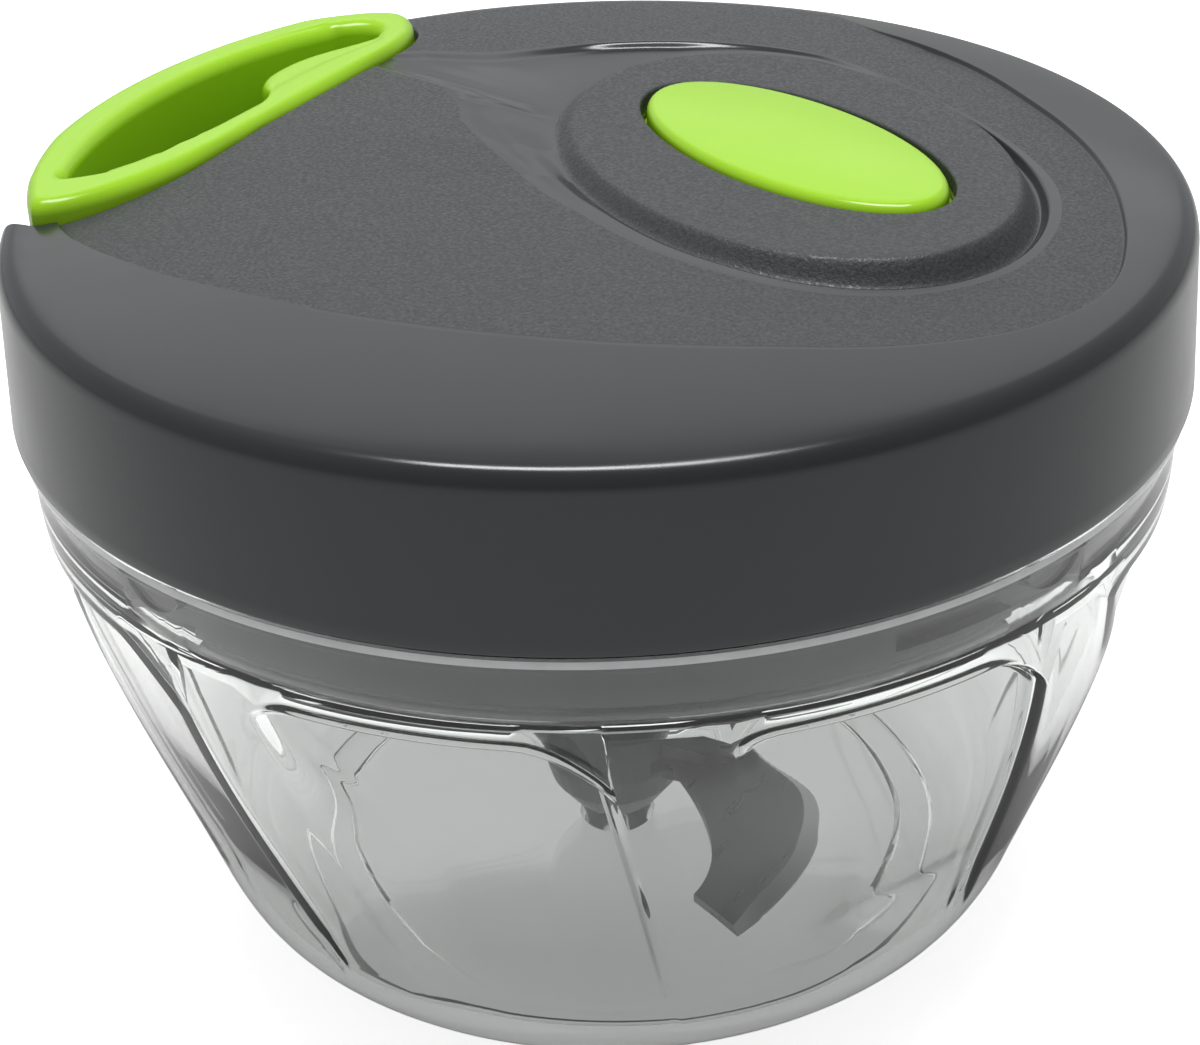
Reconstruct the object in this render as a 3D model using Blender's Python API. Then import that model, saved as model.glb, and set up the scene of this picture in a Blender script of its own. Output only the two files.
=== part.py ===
"""Pull-cord vegetable chopper: a clear bowl with a blade stack, under a lid that holds a cord spool.

Pulling the lime handle sideways unwinds a cord from a sprung spool. Two pawls under the spool turn
the drive coupling, whose socket drives the blade shaft in the bowl. The lid is a bayonet lid.

Sizes are millimetres and degrees; the mesh data is written in metres. The origin is the centre of
the bowl's foot, +Z is up and the handle is pulled out along -X.
"""

import math

import bmesh
import bpy
import numpy as np
from mathutils import Matrix, Vector

MM = 0.001
CLEAR = 0.3                      # running gap between neighbouring pieces

# Bowl
LID_Z = 63.8                     # lower edge of the lid's skirt
BAND_R = 61.0                    # outside of the straight band under the flange
BAND_H = 5.6
FLANGE_OUT = 0.9                 # how far the flange stands out from the band
FLANGE_R = BAND_R + FLANGE_OUT
FLANGE_T = 2.0
MOUTH_WALL = 1.5
BORE_R = BAND_R - MOUTH_WALL     # mouth that takes the lid's plug and the seal
LEDGE_Z = 55.0                   # ledge in the bore under the seal
WALL = 2.8
FOOT_R = 37.5
FOOT_W = 4.0
FOOT_H = 1.2
FLOOR_T = 2.4
CORNER_R = 47.4                  # where the wall turns into the foot's corner
CORNER_Z = 10.0
PANELS = 8
PANEL_EDGE = -60.0               # right-hand edge of the first grip panel, at its top
PANEL_LEAN = 8.0                 # how far the panels swing round from their top to the foot's corner
PANEL_WIDE = 34.0                # degrees
PANEL_TOP = 53.4
PANEL_DEEP = 1.0
PANEL_FLAT = 0.45                # how far a panel is flattened from the round wall to its chord
PIN_R = 2.2
PIN_BOSS_R = 4.4
PIN_BOSS_H = 1.6
PIN_TOP = 25.0
LUGS = 4
LUG_AT = -105.0
LUG_WIDE = 8.4
LUG_DROP = 3.5
LUG_DEEP = 1.5

# Lid: outer cover
LID_PROUD = 0.6                  # the skirt stands this far outside the bowl's flange
LID_R = FLANGE_R + LID_PROUD
SKIRT_DRAFT = 0.75               # the skirt leans in by this much up to the crease
CREASE_R = LID_R - SKIRT_DRAFT
CREASE_H = 17.6                  # skirt height up to the crease
CROWN_H = 3.6                    # rise of the top from the crease to the middle
COVER_T = 2.2
CROWN_WALL = 1.5                 # least wall under the valley
LIP_STEP = 0.5                   # panel lies this far below the glossy ring's lip
VALLEY_DEEP = 0.9
COLLAR_H = 21.4                  # top of the button's collar above the skirt's edge
CEILING_Z = 80.0                 # underside of the cover over the spring cup
POLE = (19.0, 7.9)               # the top's curves are drawn round this point, under the button
BUTTON_OVAL = (16.3, 13.1, 21.8, 9.95, 155.7)    # centre x, y, half length, half width, turn
BUTTON_GAP = 0.7                 # play round the button in its hole
COLLAR_OVAL = (16.5, 12.0, 30.8, 20.7, 145.8)
COLLAR_SIDE = 1.7                # how far the collar's side stands out at its foot
PANEL_LINE = ((-160, 78.0), (-146, 75.1), (-135, 66.8), (-125, 59.0), (-114, 52.4), (-99, 45.8), (-83, 41.6),
              (-68, 39.6), (-47, 39.8), (-26, 40.1), (-13, 38.8), (2, 35.8), (13, 34.0), (25, 32.9), (40, 32.5),
              (55, 33.2), (71, 35.5), (86, 40.2), (98, 45.2), (107, 50.2), (114, 58.0), (150, 70.0),
              (180, 78.0))           # angle and reach from the pole of the glossy ring's inner lip
VALLEY_LINE = ((-175, 37.6), (-164, 31.4), (-150, 26.5), (-138, 24.4), (-129, 23.2), (-114, 22.7), (-95, 23.5),
               (-79, 24.9), (-67, 26.7), (-57, 28.2), (-41, 29.9), (-21, 30.1), (2, 28.4), (23, 26.8), (38, 25.6),
               (55, 25.2), (76, 26.5), (91, 29.7), (100, 32.7), (117, 38.0), (131, 42.1), (145, 46.1), (154, 48.7),
               (160, 51.8), (165, 59.3), (168, 63.0), (171, 61.0), (173, 48.4), (176, 43.6))

# Lid: plug and floor
PLUG_R = BORE_R - 0.4
PLUG_IN_R = PLUG_R - 3.3
PLUG_Z = 56.5
BASE_FLOOR_Z = 58.0
BASE_FLOOR_T = 2.0
BASE_RIM_T = 2.0
GROOVE_R = BORE_R - LUG_DEEP - 0.4
GROOVE_PLAY = 1.0                # degrees each side of a lug
TWIST = 13.0                     # turn from the entry to the locked place
SEAL_T = 0.9
SEAL_IN_R = PLUG_IN_R - 0.2
SCREW_R = PLUG_IN_R - 6.8
SCREW_AT = (3.0, 118.0, 242.0)

# Handle and its recess
HANDLE_IN = 1.9                  # the handle's outer wall lies this far inside the skirt
HANDLE_R = LID_R - HANDLE_IN
HANDLE_DEEP = 20.6               # from the outer wall to the straight inner edge
HANDLE_X = HANDLE_DEEP - HANDLE_R  # inner edge that lies against the recess wall
NEAR_TURN = 17.0                 # angles that the handle's outer arc spans on either side of -X
FAR_TURN = 23.0
HANDLE_LOW = 70.8
HANDLE_TOP = 84.7
HANDLE_GAP = 0.4
LOOP_R = HANDLE_R - 5.0          # outer side of the finger opening
LOOP_X = HANDLE_X - 3.5
TONGUE_X = HANDLE_X - 8.7
EDGE_SOFT = 1.6
KNOT_X = TONGUE_X + 3.4          # middle of the cord's knot
RECESS_FLOOR_T = 2.0
RECESS_WALL = 2.0

# Drive
CORD_R = 0.7
CORD_PITCH = 1.9
CORD_TURNS = 3.0
CORD_Z = 73.2                    # height at which the cord leaves the spool
DRUM_R = 15.4
SPOOL_R = 25.0
SPOOL_FLANGE = 0.9
DRUM_LOW = 66.4
DRUM_TOP = 74.2
SPINDLE_R = 2.5
HUB_R = 5.5
HUB_LOW = 63.7
RATCHET_R = 14.8
RATCHET_TEETH = 12
RATCHET_ROOT = 13.6
RATCHET_TIP = 12.7
CUP_R = 19.2
CUP_WALL = 1.6
CUP_TOP = CEILING_Z - CLEAR
CUP_LOW = 75.4
SPRING_TURNS = 5
SPRING_T = 0.45
SPRING_IN_R = 6.7
SPRING_OUT_R = 16.6
SPRING_LOW = 76.0
SPRING_TOP = CUP_TOP - 1.5
NECK_R = 10.0
SOCKET_R = 7.6
SOCKET_LOW = 54.0
RATCHET_PHASE = 7.9              # turn of the ratchet teeth that leaves the pawls in mesh
PAWL_AT = 9.4                    # pivot radius of the pawls
PAWL_LOW = 62.2
PAWL_TOP = 64.9

# Blades
SHAFT_R = 5.5
SHAFT_LOW = 5.5
SHAFT_TOP = 59.0
HEAD_R = 4.6
HEAD_LUG_R = 7.0
HUB_BULB_R = 8.4
BLADE_T = 1.0
BLADE_REACH = 38.5
BLADE_BEVEL = 2.0
BLADE_LEVELS = (13.8, 26.5, 39.2)
BLADE_TIP_AT = -41.0
BRACKET_TURN = 50.0
BRACKET_R = 15.5
BRACKET_W = 8.0
BRACKET_H = 4.2

# Button
BUTTON_RISE = 1.1                # top above the collar
BUTTON_TOP = LID_Z + COLLAR_H + BUTTON_RISE
BUTTON_LIP = 0.8
BUTTON_TRAVEL = 1.0
STEM_AT = (22.4, 3.4)
STEM_R = 1.6
SEAT_Z = CUP_TOP - 1.3           # ear of the spring cup that the button's spring stands on


def clear_scene():
    """Remove every object that the file starts with."""
    for item in list(bpy.data.objects):
        bpy.data.objects.remove(item, do_unlink=True)


def finish_material(name, colour, roughness, metallic=0.0, transmission=0.0):
    """Make a Principled material for one piece."""
    material = bpy.data.materials.new(name)
    material.use_nodes = True
    shader = material.node_tree.nodes["Principled BSDF"]
    shader.inputs["Base Color"].default_value = (*colour, 1.0)
    shader.inputs["Roughness"].default_value = roughness
    shader.inputs["Metallic"].default_value = metallic
    shader.inputs["Transmission Weight"].default_value = transmission
    material.diffuse_color = (*colour, 1.0)
    return material


FINISHES = {
    "clear": ((0.86, 0.89, 0.90), 0.05, 0.0, 0.9),
    "slate_gloss": ((0.045, 0.049, 0.054), 0.22, 0.0, 0.0),
    "slate_plain": ((0.05, 0.053, 0.057), 0.45, 0.0, 0.0),
    "lime": ((0.36, 0.78, 0.05), 0.25, 0.0, 0.0),
    "steel": ((0.62, 0.63, 0.64), 0.28, 1.0, 0.0),
    "seal": ((0.78, 0.80, 0.80), 0.5, 0.0, 0.3),
    "natural": ((0.80, 0.79, 0.74), 0.4, 0.0, 0.0),
    "cord": ((0.85, 0.85, 0.82), 0.8, 0.0, 0.0),
    "dark": ((0.03, 0.031, 0.034), 0.4, 0.0, 0.0),
}


def add_piece(name, mesh, finish, parent, pivot=(0.0, 0.0, 0.0)):
    """Link a mesh made in millimetres as one named piece, with its origin at its pivot."""
    mesh.transform(Matrix.Translation(-Vector(pivot)))
    mesh.transform(Matrix.Scale(MM, 4))
    mesh.name = name
    mesh.materials.clear()
    mesh.materials.append(finish_material(name, *FINISHES[finish]))
    mesh.shade_smooth()
    mesh.set_sharp_from_angle(angle=math.radians(32.0))
    piece = bpy.data.objects.new(name, mesh)
    bpy.context.collection.objects.link(piece)
    place(piece, parent, pivot)
    return piece


def place(item, parent, pivot):
    """Put an object's origin at a world point in millimetres under its parent empty."""
    item.location = Vector(pivot) * MM
    if parent is not None:
        item.parent = parent
        item.location -= parent.matrix_world.translation
        bpy.context.view_layer.update()


def add_body(name, parent=None, pivot=(0.0, 0.0, 0.0)):
    """Make the empty that carries the pieces that move together; it stands on their joint's axis."""
    body = bpy.data.objects.new(name, None)
    body.empty_display_size = 0.01
    bpy.context.collection.objects.link(body)
    place(body, parent, pivot)
    bpy.context.view_layer.update()
    return body


def mesh_from(points, faces):
    """Make a mesh with outward faces from points in millimetres."""
    mesh = bpy.data.meshes.new("piece")
    mesh.from_pydata([tuple(map(float, p)) for p in points], [], faces)
    form = bmesh.new()
    form.from_mesh(mesh)
    bmesh.ops.remove_doubles(form, verts=form.verts, dist=0.0005)
    bmesh.ops.recalc_face_normals(form, faces=form.faces)
    form.to_mesh(mesh)
    form.free()
    return mesh


def loft(rings, closed=False):
    """Join rings of as many points each; a closed loft is a tube bent into itself, an open one is capped."""
    rings = [np.asarray(ring, dtype=float) for ring in rings]
    count = len(rings[0])
    total = len(rings)
    points = np.concatenate(rings)
    faces = []
    for k in range(total if closed else total - 1):
        low, high = k * count, ((k + 1) % total) * count
        for j in range(count):
            n = (j + 1) % count
            faces.append((low + j, low + n, high + n, high + j))
    if not closed:
        faces.append(tuple(reversed(range(count))))
        faces.append(tuple(range((total - 1) * count, total * count)))
    return mesh_from(points, faces)


def ring_at(radius, height, segments=64, centre=(0.0, 0.0)):
    """A level circle of points."""
    turn = np.linspace(0.0, 2.0 * math.pi, segments, endpoint=False)
    return np.stack([centre[0] + radius * np.cos(turn), centre[1] + radius * np.sin(turn),
                     np.full(segments, float(height))], axis=-1)


def tube_wall(profile, segments=64, centre=(0.0, 0.0)):
    """Turn a closed profile of (radius, height) pairs that stays off the axis."""
    return loft([ring_at(r, z, segments, centre) for r, z in profile], closed=True)


def turned(profile, segments=32, centre=(0.0, 0.0)):
    """Turn an open profile of (radius, height) pairs into a solid with flat ends."""
    return loft([ring_at(r, z, segments, centre) for r, z in profile])


def prism(outline, low, high):
    """Extrude a plan outline between two heights."""
    outline = np.asarray(outline, dtype=float)
    layers = [np.column_stack([outline, np.full(len(outline), z)]) for z in (low, high)]
    return loft(layers)


def rod_x(radius, x_from, x_to, y, z, sides=16):
    """A round rod along X."""
    turn = np.linspace(0.0, 2.0 * math.pi, sides, endpoint=False)
    rings = []
    for x in (x_from, x_to):
        rings.append(np.stack([np.full(sides, x), y + radius * np.cos(turn), z + radius * np.sin(turn)], -1))
    return loft(rings)


def combine(base, other, operation):
    """Apply one exact boolean between two closed meshes and return the result."""
    first = bpy.data.objects.new("base", base)
    second = bpy.data.objects.new("tool", other)
    for item in (first, second):
        bpy.context.collection.objects.link(item)
    second.hide_render = True
    second.display_type = "WIRE"
    step = first.modifiers.new("step", "BOOLEAN")
    step.operation = operation
    step.solver = "EXACT"
    step.object = second
    bpy.context.view_layer.update()
    graph = bpy.context.evaluated_depsgraph_get()
    result = bpy.data.meshes.new_from_object(first.evaluated_get(graph), depsgraph=graph)
    for item in (first, second):
        bpy.data.objects.remove(item, do_unlink=True)
    return result


def cut(base, *tools):
    """Take each tool away from the base."""
    for tool in tools:
        base = combine(base, tool, "DIFFERENCE")
    return base


def fuse(base, *others):
    """Join overlapping solids into one."""
    for other in others:
        base = combine(base, other, "UNION")
    return base


def moved(mesh, x=0.0, y=0.0, z=0.0, turn=0.0):
    """Turn a mesh about Z by degrees, then shift it."""
    mesh.transform(Matrix.Translation((x, y, z)) @ Matrix.Rotation(math.radians(turn), 4, "Z"))
    return mesh


def bezier(start, pull_a, pull_b, end, count):
    """Points on a cubic curve, both ends included."""
    t = np.linspace(0.0, 1.0, count)[:, None]
    start, pull_a, pull_b, end = (np.asarray(p, dtype=float) for p in (start, pull_a, pull_b, end))
    return (1 - t) ** 3 * start + 3 * t * (1 - t) ** 2 * pull_a + 3 * t ** 2 * (1 - t) * pull_b + t ** 3 * end


def arc(centre, radius, start, end, count):
    """Points on an arc in plan, both ends included, angles in degrees."""
    turn = np.radians(np.linspace(start, end, count))
    return np.stack([centre[0] + radius * np.cos(turn), centre[1] + radius * np.sin(turn)], axis=-1)


def closed_line(table, degrees):
    """Radius of a smooth closed line at any angle, through a few (degrees, radius) pairs."""
    table = np.asarray(table, dtype=float)
    knots = np.concatenate([table[-2:, 0] - 360.0, table[:, 0], table[:2, 0] + 360.0])
    radii = np.concatenate([table[-2:, 1], table[:, 1], table[:2, 1]])
    slopes = np.gradient(radii, knots)
    degrees = (np.asarray(degrees, dtype=float) - knots[2]) % 360.0 + knots[2]
    i = np.clip(np.searchsorted(knots, degrees, side="right") - 1, 0, len(knots) - 2)
    span = knots[i + 1] - knots[i]
    t = (degrees - knots[i]) / span
    return ((2 * t ** 3 - 3 * t ** 2 + 1) * radii[i] + (t ** 3 - 2 * t ** 2 + t) * span * slopes[i]
            + (3 * t ** 2 - 2 * t ** 3) * radii[i + 1] + (t ** 3 - t ** 2) * span * slopes[i + 1])


def oval_radius(oval, degrees, grow=0.0):
    """Distance from the pole to an oval along each plan angle."""
    x, y, long, short, turn = oval
    turn = math.radians(turn)
    angle = np.radians(degrees)
    px, py = POLE[0] - x, POLE[1] - y
    u0 = (px * math.cos(turn) + py * math.sin(turn)) / (long + grow)
    v0 = (-px * math.sin(turn) + py * math.cos(turn)) / (short + grow)
    du = np.cos(angle - turn) / (long + grow)
    dv = np.sin(angle - turn) / (short + grow)
    a = du ** 2 + dv ** 2
    b = u0 * du + v0 * dv
    return (-b + np.sqrt(b ** 2 - a * (u0 ** 2 + v0 ** 2 - 1.0))) / a


def round_radius(radius, degrees):
    """Distance from the pole to a circle about the lid's axis along each plan angle."""
    angle = np.radians(degrees)
    b = POLE[0] * np.cos(angle) + POLE[1] * np.sin(angle)
    return -b + np.sqrt(b ** 2 - (POLE[0] ** 2 + POLE[1] ** 2 - radius ** 2))


def plan_points(reach, degrees):
    """Plan points at a distance from the pole."""
    angle = np.radians(degrees)
    return POLE[0] + reach * np.cos(angle), POLE[1] + reach * np.sin(angle)


def top_height(x, y):
    """Height of the glossy ring's surface above the skirt's lower edge."""
    share = np.clip((x ** 2 + y ** 2) / CREASE_R ** 2, 0.0, 1.0)
    return CREASE_H + CROWN_H * (1.0 - share) ** 0.6


def wall_radius(height):
    """Outside radius of the round bowl wall between the foot's corner and the band."""
    curve = wall_curve(40)
    return np.interp(height, curve[::-1, 1], curve[::-1, 0])


def wall_curve(count):
    """The bowl wall's outline from the band down to the foot's corner."""
    top = LID_Z - FLANGE_T - BAND_H
    return bezier((BAND_R, top), (BAND_R - 0.8, top - 14.0), (CORNER_R + 5.4, CORNER_Z + 15.0),
                  (CORNER_R, CORNER_Z), count)


def corner_curve(count):
    """The rounded corner between the bowl's wall and its foot."""
    return bezier((CORNER_R, CORNER_Z), (CORNER_R - 1.7, CORNER_Z - 5.2), (FOOT_R + 5.5, FOOT_H),
                  (FOOT_R, FOOT_H), count)


def lean_at(height):
    """How far the bowl's columns have swung round at a height."""
    share = (PANEL_TOP - np.asarray(height, dtype=float)) / (PANEL_TOP - CORNER_Z)
    return np.radians(PANEL_LEAN) * np.clip(share, 0.0, 1.0)


def panel_stations():
    """Plan angles of the bowl's columns, and where each lies across its panel: 0 right edge, 1 left."""
    across = (0.0, 0.03, 0.25, 0.55, 0.85, 1.0)
    degrees, shares = [], []
    pitch = 360.0 / PANELS
    for k in range(PANELS):
        right = PANEL_EDGE + k * pitch
        for share in across:
            degrees.append(right - share * PANEL_WIDE)
            shares.append(share)
        degrees.append(right - 0.5 * (PANEL_WIDE + pitch))
        shares.append(-1.0)
    order = np.argsort(degrees)
    return np.asarray(degrees)[order], np.asarray(shares)[order]


def panel_depth(share, radius):
    """Depth of a grip panel: a sharp right edge, a soft left one, and a part-flattened middle."""
    if share <= 0.0 or share >= 1.0:
        return 0.0
    half = math.radians(PANEL_WIDE / 2)
    angle = (share - 0.5) * 2.0 * half
    chord = radius * (1.0 - math.cos(half) / math.cos(angle))
    soft = min(1.0, (1.0 - share) / 0.14)
    return PANEL_DEEP * soft + PANEL_FLAT * chord


def panel_ledge(share):
    """Height of a panel's upper ledge, lower at its rounded corners."""
    if share < 0.0:
        return PANEL_TOP
    right = max(0.0, 1.0 - share / 0.2)
    left = max(0.0, (share - 0.88) / 0.12)
    return PANEL_TOP - 5.0 * right ** 2 - 2.5 * left ** 2


def bowl_outside():
    """Rings of the bowl's outer face from the flange down to the foot."""
    degrees, shares = panel_stations()
    turn = np.radians(degrees)
    ledge = np.array([panel_ledge(s) for s in shares])
    band = LID_Z - FLANGE_T - BAND_H
    flange_top = LID_Z - CLEAR

    def ring(radii, heights):
        swung = turn + lean_at(heights)
        return np.stack([radii * np.cos(swung), radii * np.sin(swung), np.broadcast_to(heights, turn.shape)], -1)

    rings = [ring(FLANGE_R, flange_top), ring(FLANGE_R, flange_top - FLANGE_T),
             ring(BAND_R, flange_top - FLANGE_T - 0.4), ring(BAND_R, band)]
    rings.append(ring(wall_radius(ledge), ledge))
    for share in (0.03, 0.25, 0.5, 0.75, 1.0):
        heights = (ledge - 1.0) * (1.0 - share) + CORNER_Z * share
        radii = wall_radius(heights)
        depth = np.array([panel_depth(s, r) for s, r in zip(shares, radii)])
        rings.append(ring(radii - depth, heights))
    for k, (radius, height) in enumerate(corner_curve(6)[1:], start=1):
        depth = np.array([panel_depth(s, radius) for s in shares]) * max(0.0, 1.0 - k / 4.0)
        rings.append(ring(radius - depth, height))
    rings.append(ring(FOOT_R, 0.0))
    rings.append(ring(FOOT_R - FOOT_W, 0.0))
    rings.append(ring(FOOT_R - FOOT_W - 0.6, FOOT_H))
    return rings


def bowl_inside(turn):
    """Rings of the bowl's inner face from the middle of the floor up to the mouth."""
    floor = FOOT_H + FLOOR_T
    curve = np.concatenate([wall_curve(6)[1:], corner_curve(4)[1:3]])
    inner = [(FOOT_R - 4.0, floor)]
    inner += [(r - WALL, max(z + 1.2, floor)) for r, z in curve[::-1]]
    inner += [(BORE_R - 1.9, LEDGE_Z - 2.0), (BORE_R - 1.4, LEDGE_Z), (BORE_R, LEDGE_Z),
              (BORE_R, LID_Z - CLEAR)]
    return [level_ring(r, z, turn + lean_at(z)) for r, z in inner]


def level_ring(radius, height, turn):
    """A level ring of points at given angles in radians."""
    return np.stack([radius * np.cos(turn), radius * np.sin(turn), np.full(len(turn), height)], axis=-1)


def bowl_lug(k):
    """A half-ellipse lug inside the bowl's mouth, hanging just under the flange."""
    top = LID_Z - FLANGE_T - 0.1
    middle = math.radians(LUG_AT + k * 360.0 / LUGS)
    half = 0.5 * LUG_WIDE
    steps = np.radians(np.linspace(0.0, 180.0, 9))
    side = half * np.cos(steps)
    height = top - LUG_DROP * np.sin(steps)
    rings = []
    for radius in (BORE_R - LUG_DEEP, BORE_R + 0.8):
        turn = middle + side / radius
        rings.append(np.stack([radius * np.cos(turn), radius * np.sin(turn), height], axis=-1))
    return loft(rings)


def make_bowl(body):
    """The clear bowl: flange, band, tapered wall with eight grip panels, foot, boss and four lugs."""
    degrees, _ = panel_stations()
    turn = np.radians(degrees)
    floor = FOOT_H + FLOOR_T
    swung = turn + math.radians(PANEL_LEAN)
    hole = PIN_R + CLEAR
    socket = [(PIN_BOSS_R, FOOT_H), (hole * 0.5, FOOT_H), (hole * 0.5, FOOT_H + 0.8), (hole, FOOT_H + 0.8),
              (hole, floor + PIN_BOSS_H), (PIN_BOSS_R - 0.8, floor + PIN_BOSS_H), (PIN_BOSS_R, floor)]
    middle = [level_ring(r, z, swung) for r, z in socket]
    outer = loft(bowl_outside() + middle + bowl_inside(turn), closed=True)
    lugs = [bowl_lug(k) for k in range(LUGS)]
    add_piece("bowl", fuse(outer, *lugs), "clear", body)


def make_centre_pin(body):
    """The steel pin that the blade shaft turns on."""
    low = FOOT_H + 0.8 + CLEAR
    mesh = turned([(PIN_R, low), (PIN_R, PIN_TOP - 1.6), (PIN_R * 0.75, PIN_TOP - 0.5), (PIN_R * 0.3, PIN_TOP)],
                  24)
    add_piece("centre_pin", mesh, "steel", body)


def blade_outline(inset=0.0):
    """Plan outline of one sickle blade with its tip along +X and its convex edge leading."""
    edge = bezier((2.0, 10.0), (12.0, 20.5), (30.0, 20.5), (BLADE_REACH, 0.0), 11)
    back = bezier((BLADE_REACH - 6.8, -2.2), (26.0, 5.0), (13.0, 5.0), (4.6, 3.0), 7)
    if inset:
        lean = np.gradient(edge, axis=0)
        side = np.stack([lean[:, 1], -lean[:, 0]], axis=-1) / np.linalg.norm(lean, axis=1)[:, None]
        fade = np.clip(np.linspace(0.0, 6.0, len(edge)), 0.0, 1.0)[:, None]
        fade = fade * np.clip(np.linspace(9.0, 0.35, len(edge)), 0.0, 1.0)[:, None]
        edge = edge + side * inset * fade
    return np.concatenate([edge, back])


def make_blade(name, level, degrees, body):
    """One flat blade, ground from above along its convex edge."""
    low = np.column_stack([blade_outline(), np.full(18, level - BLADE_T / 2)])
    waist = np.column_stack([blade_outline(), np.full(18, level - BLADE_T * 0.2)])
    top = np.column_stack([blade_outline(BLADE_BEVEL), np.full(18, level + BLADE_T / 2)])
    add_piece(name, moved(loft([low, waist, top]), turn=degrees), "steel", body)


def blade_bracket(level):
    """Moulded arm on the shaft that holds a blade's root, with two square pegs and a slot."""
    turn = math.radians(BRACKET_TURN)
    half = BRACKET_W / 2
    outline = [(0.0, -half), (BRACKET_R - 3.0, -half), (BRACKET_R, -half + 2.4), (BRACKET_R, half - 2.4),
               (BRACKET_R - 3.0, half), (0.0, half)]
    arm = prism(outline, level - BRACKET_H * 0.45, level + BRACKET_H * 0.55)
    pegs = []
    for x in (BRACKET_R - 9.5, BRACKET_R - 4.0):
        peg = [(x - 1.3, -1.3), (x + 1.3, -1.3), (x + 1.3, 1.3), (x - 1.3, 1.3)]
        pegs.append(prism(peg, level + BRACKET_H * 0.3, level + BRACKET_H * 0.55 + 1.6))
    arm = fuse(arm, *pegs)
    arm.transform(Matrix.Rotation(turn, 4, "Z"))
    return arm


def blade_slot(level):
    """Room for a blade's root inside its bracket."""
    outline = [(4.0, 1.6), (20.0, 1.0), (40.0, -8.0), (40.0, 24.0), (1.4, 24.0), (1.4, 9.5)]
    return prism(outline, level - BLADE_T / 2 - CLEAR, level + BLADE_T / 2 + CLEAR)


def make_shaft(body):
    """The moulded blade shaft: rounded lower hub, three brackets, and a two-lug driving head."""
    profile = [(PIN_R + 1.6, SHAFT_LOW), (HUB_BULB_R * 0.62, SHAFT_LOW + 1.0), (HUB_BULB_R * 0.9, SHAFT_LOW + 4.0),
               (HUB_BULB_R, SHAFT_LOW + 7.0), (HUB_BULB_R, 17.4), (SHAFT_R, 19.6), (SHAFT_R, 48.0),
               (HEAD_R + 1.8, 48.6), (HEAD_R + 1.8, 50.2), (HEAD_R, 50.6), (HEAD_R, SHAFT_TOP - 1.0),
               (HEAD_R - 1.0, SHAFT_TOP)]
    shaft = turned(profile, 32)
    for k, level in enumerate(BLADE_LEVELS):
        shaft = fuse(shaft, moved(blade_bracket(level), turn=BLADE_TIP_AT + 120.0 * k))
    for side in (0.0, 180.0):
        lug = np.concatenate([arc((0, 0), HEAD_LUG_R, -18.0, 18.0, 5), arc((0, 0), 2.0, 18.0, -18.0, 3)])
        shaft = fuse(shaft, moved(prism(lug, 51.4, SHAFT_TOP - 1.4), turn=side))
    for k, level in enumerate(BLADE_LEVELS):
        shaft = cut(shaft, moved(blade_slot(level), turn=BLADE_TIP_AT + 120.0 * k))
    bore = turned([(PIN_R + CLEAR, SHAFT_LOW - 2.0), (PIN_R + CLEAR, PIN_TOP + CLEAR)], 24)
    add_piece("blade_shaft", cut(shaft, bore), "dark", body)


def make_seal(body):
    """The clear seal ring under the plug, notched where the bowl's lugs pass it."""
    low = LEDGE_Z + CLEAR
    outer = PLUG_R + 0.1
    mesh = tube_wall([(SEAL_IN_R, low), (outer, low), (outer, low + SEAL_T), (SEAL_IN_R, low + SEAL_T)], 72)
    for k in range(LUGS):
        mesh = cut(mesh, sector(GROOVE_R, outer + 1.0, LUG_AT + k * 360.0 / LUGS, lug_half(), low - 1.0,
                                low + SEAL_T + 1.0))
    add_piece("seal_ring", mesh, "seal", body)


def lug_half():
    """Half the width of a lug's passage in degrees."""
    return math.degrees(0.5 * LUG_WIDE / (BORE_R - LUG_DEEP)) + GROOVE_PLAY


def sector(inner, outer, middle, half, low, high, reach=0.0):
    """A curved block between two radii; reach widens it on its clockwise side."""
    start, end = middle - half - reach, middle + half
    count = max(3, int((end - start) / 4.0) + 2)
    outline = np.concatenate([arc((0, 0), outer, start, end, count), arc((0, 0), inner, end, start, count)])
    return prism(outline, low, high)


def make_lid_base(body):
    """The lid's inner moulding: plug with four L-shaped bayonet grooves, floor, neck bearing and rim."""
    floor_top = BASE_FLOOR_Z + BASE_FLOOR_T
    rim_low = LID_Z
    hole = NECK_R + CLEAR
    profile = [(hole, BASE_FLOOR_Z), (PLUG_IN_R, BASE_FLOOR_Z), (PLUG_IN_R, PLUG_Z), (PLUG_R, PLUG_Z),
               (PLUG_R, rim_low), (LID_R - COVER_T - CLEAR, rim_low), (LID_R - COVER_T - CLEAR, rim_low + BASE_RIM_T),
               (PLUG_IN_R, rim_low + BASE_RIM_T), (PLUG_IN_R, floor_top), (hole, floor_top)]
    mesh = tube_wall(profile, 60)
    lug_top = LID_Z - FLANGE_T - 0.1
    for k in range(LUGS):
        middle = LUG_AT + k * 360.0 / LUGS
        entry = sector(GROOVE_R, PLUG_R + 1.0, middle, lug_half(), PLUG_Z - 1.0, lug_top - 1.0)
        run = sector(GROOVE_R, PLUG_R + 1.0, middle, lug_half() + 0.2, lug_top - LUG_DROP - CLEAR, lug_top + CLEAR,
                     TWIST)
        mesh = cut(mesh, run, entry)
    for degrees in SCREW_AT:
        x, y = SCREW_R * math.cos(math.radians(degrees)), SCREW_R * math.sin(math.radians(degrees))
        hole_rod = turned([(1.4 + CLEAR, BASE_FLOOR_Z - 1.0), (1.4 + CLEAR, floor_top + 1.0)], 16, (x, y))
        mesh = cut(mesh, hole_rod)
    add_piece("lid_base", mesh, "dark", body)


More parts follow.
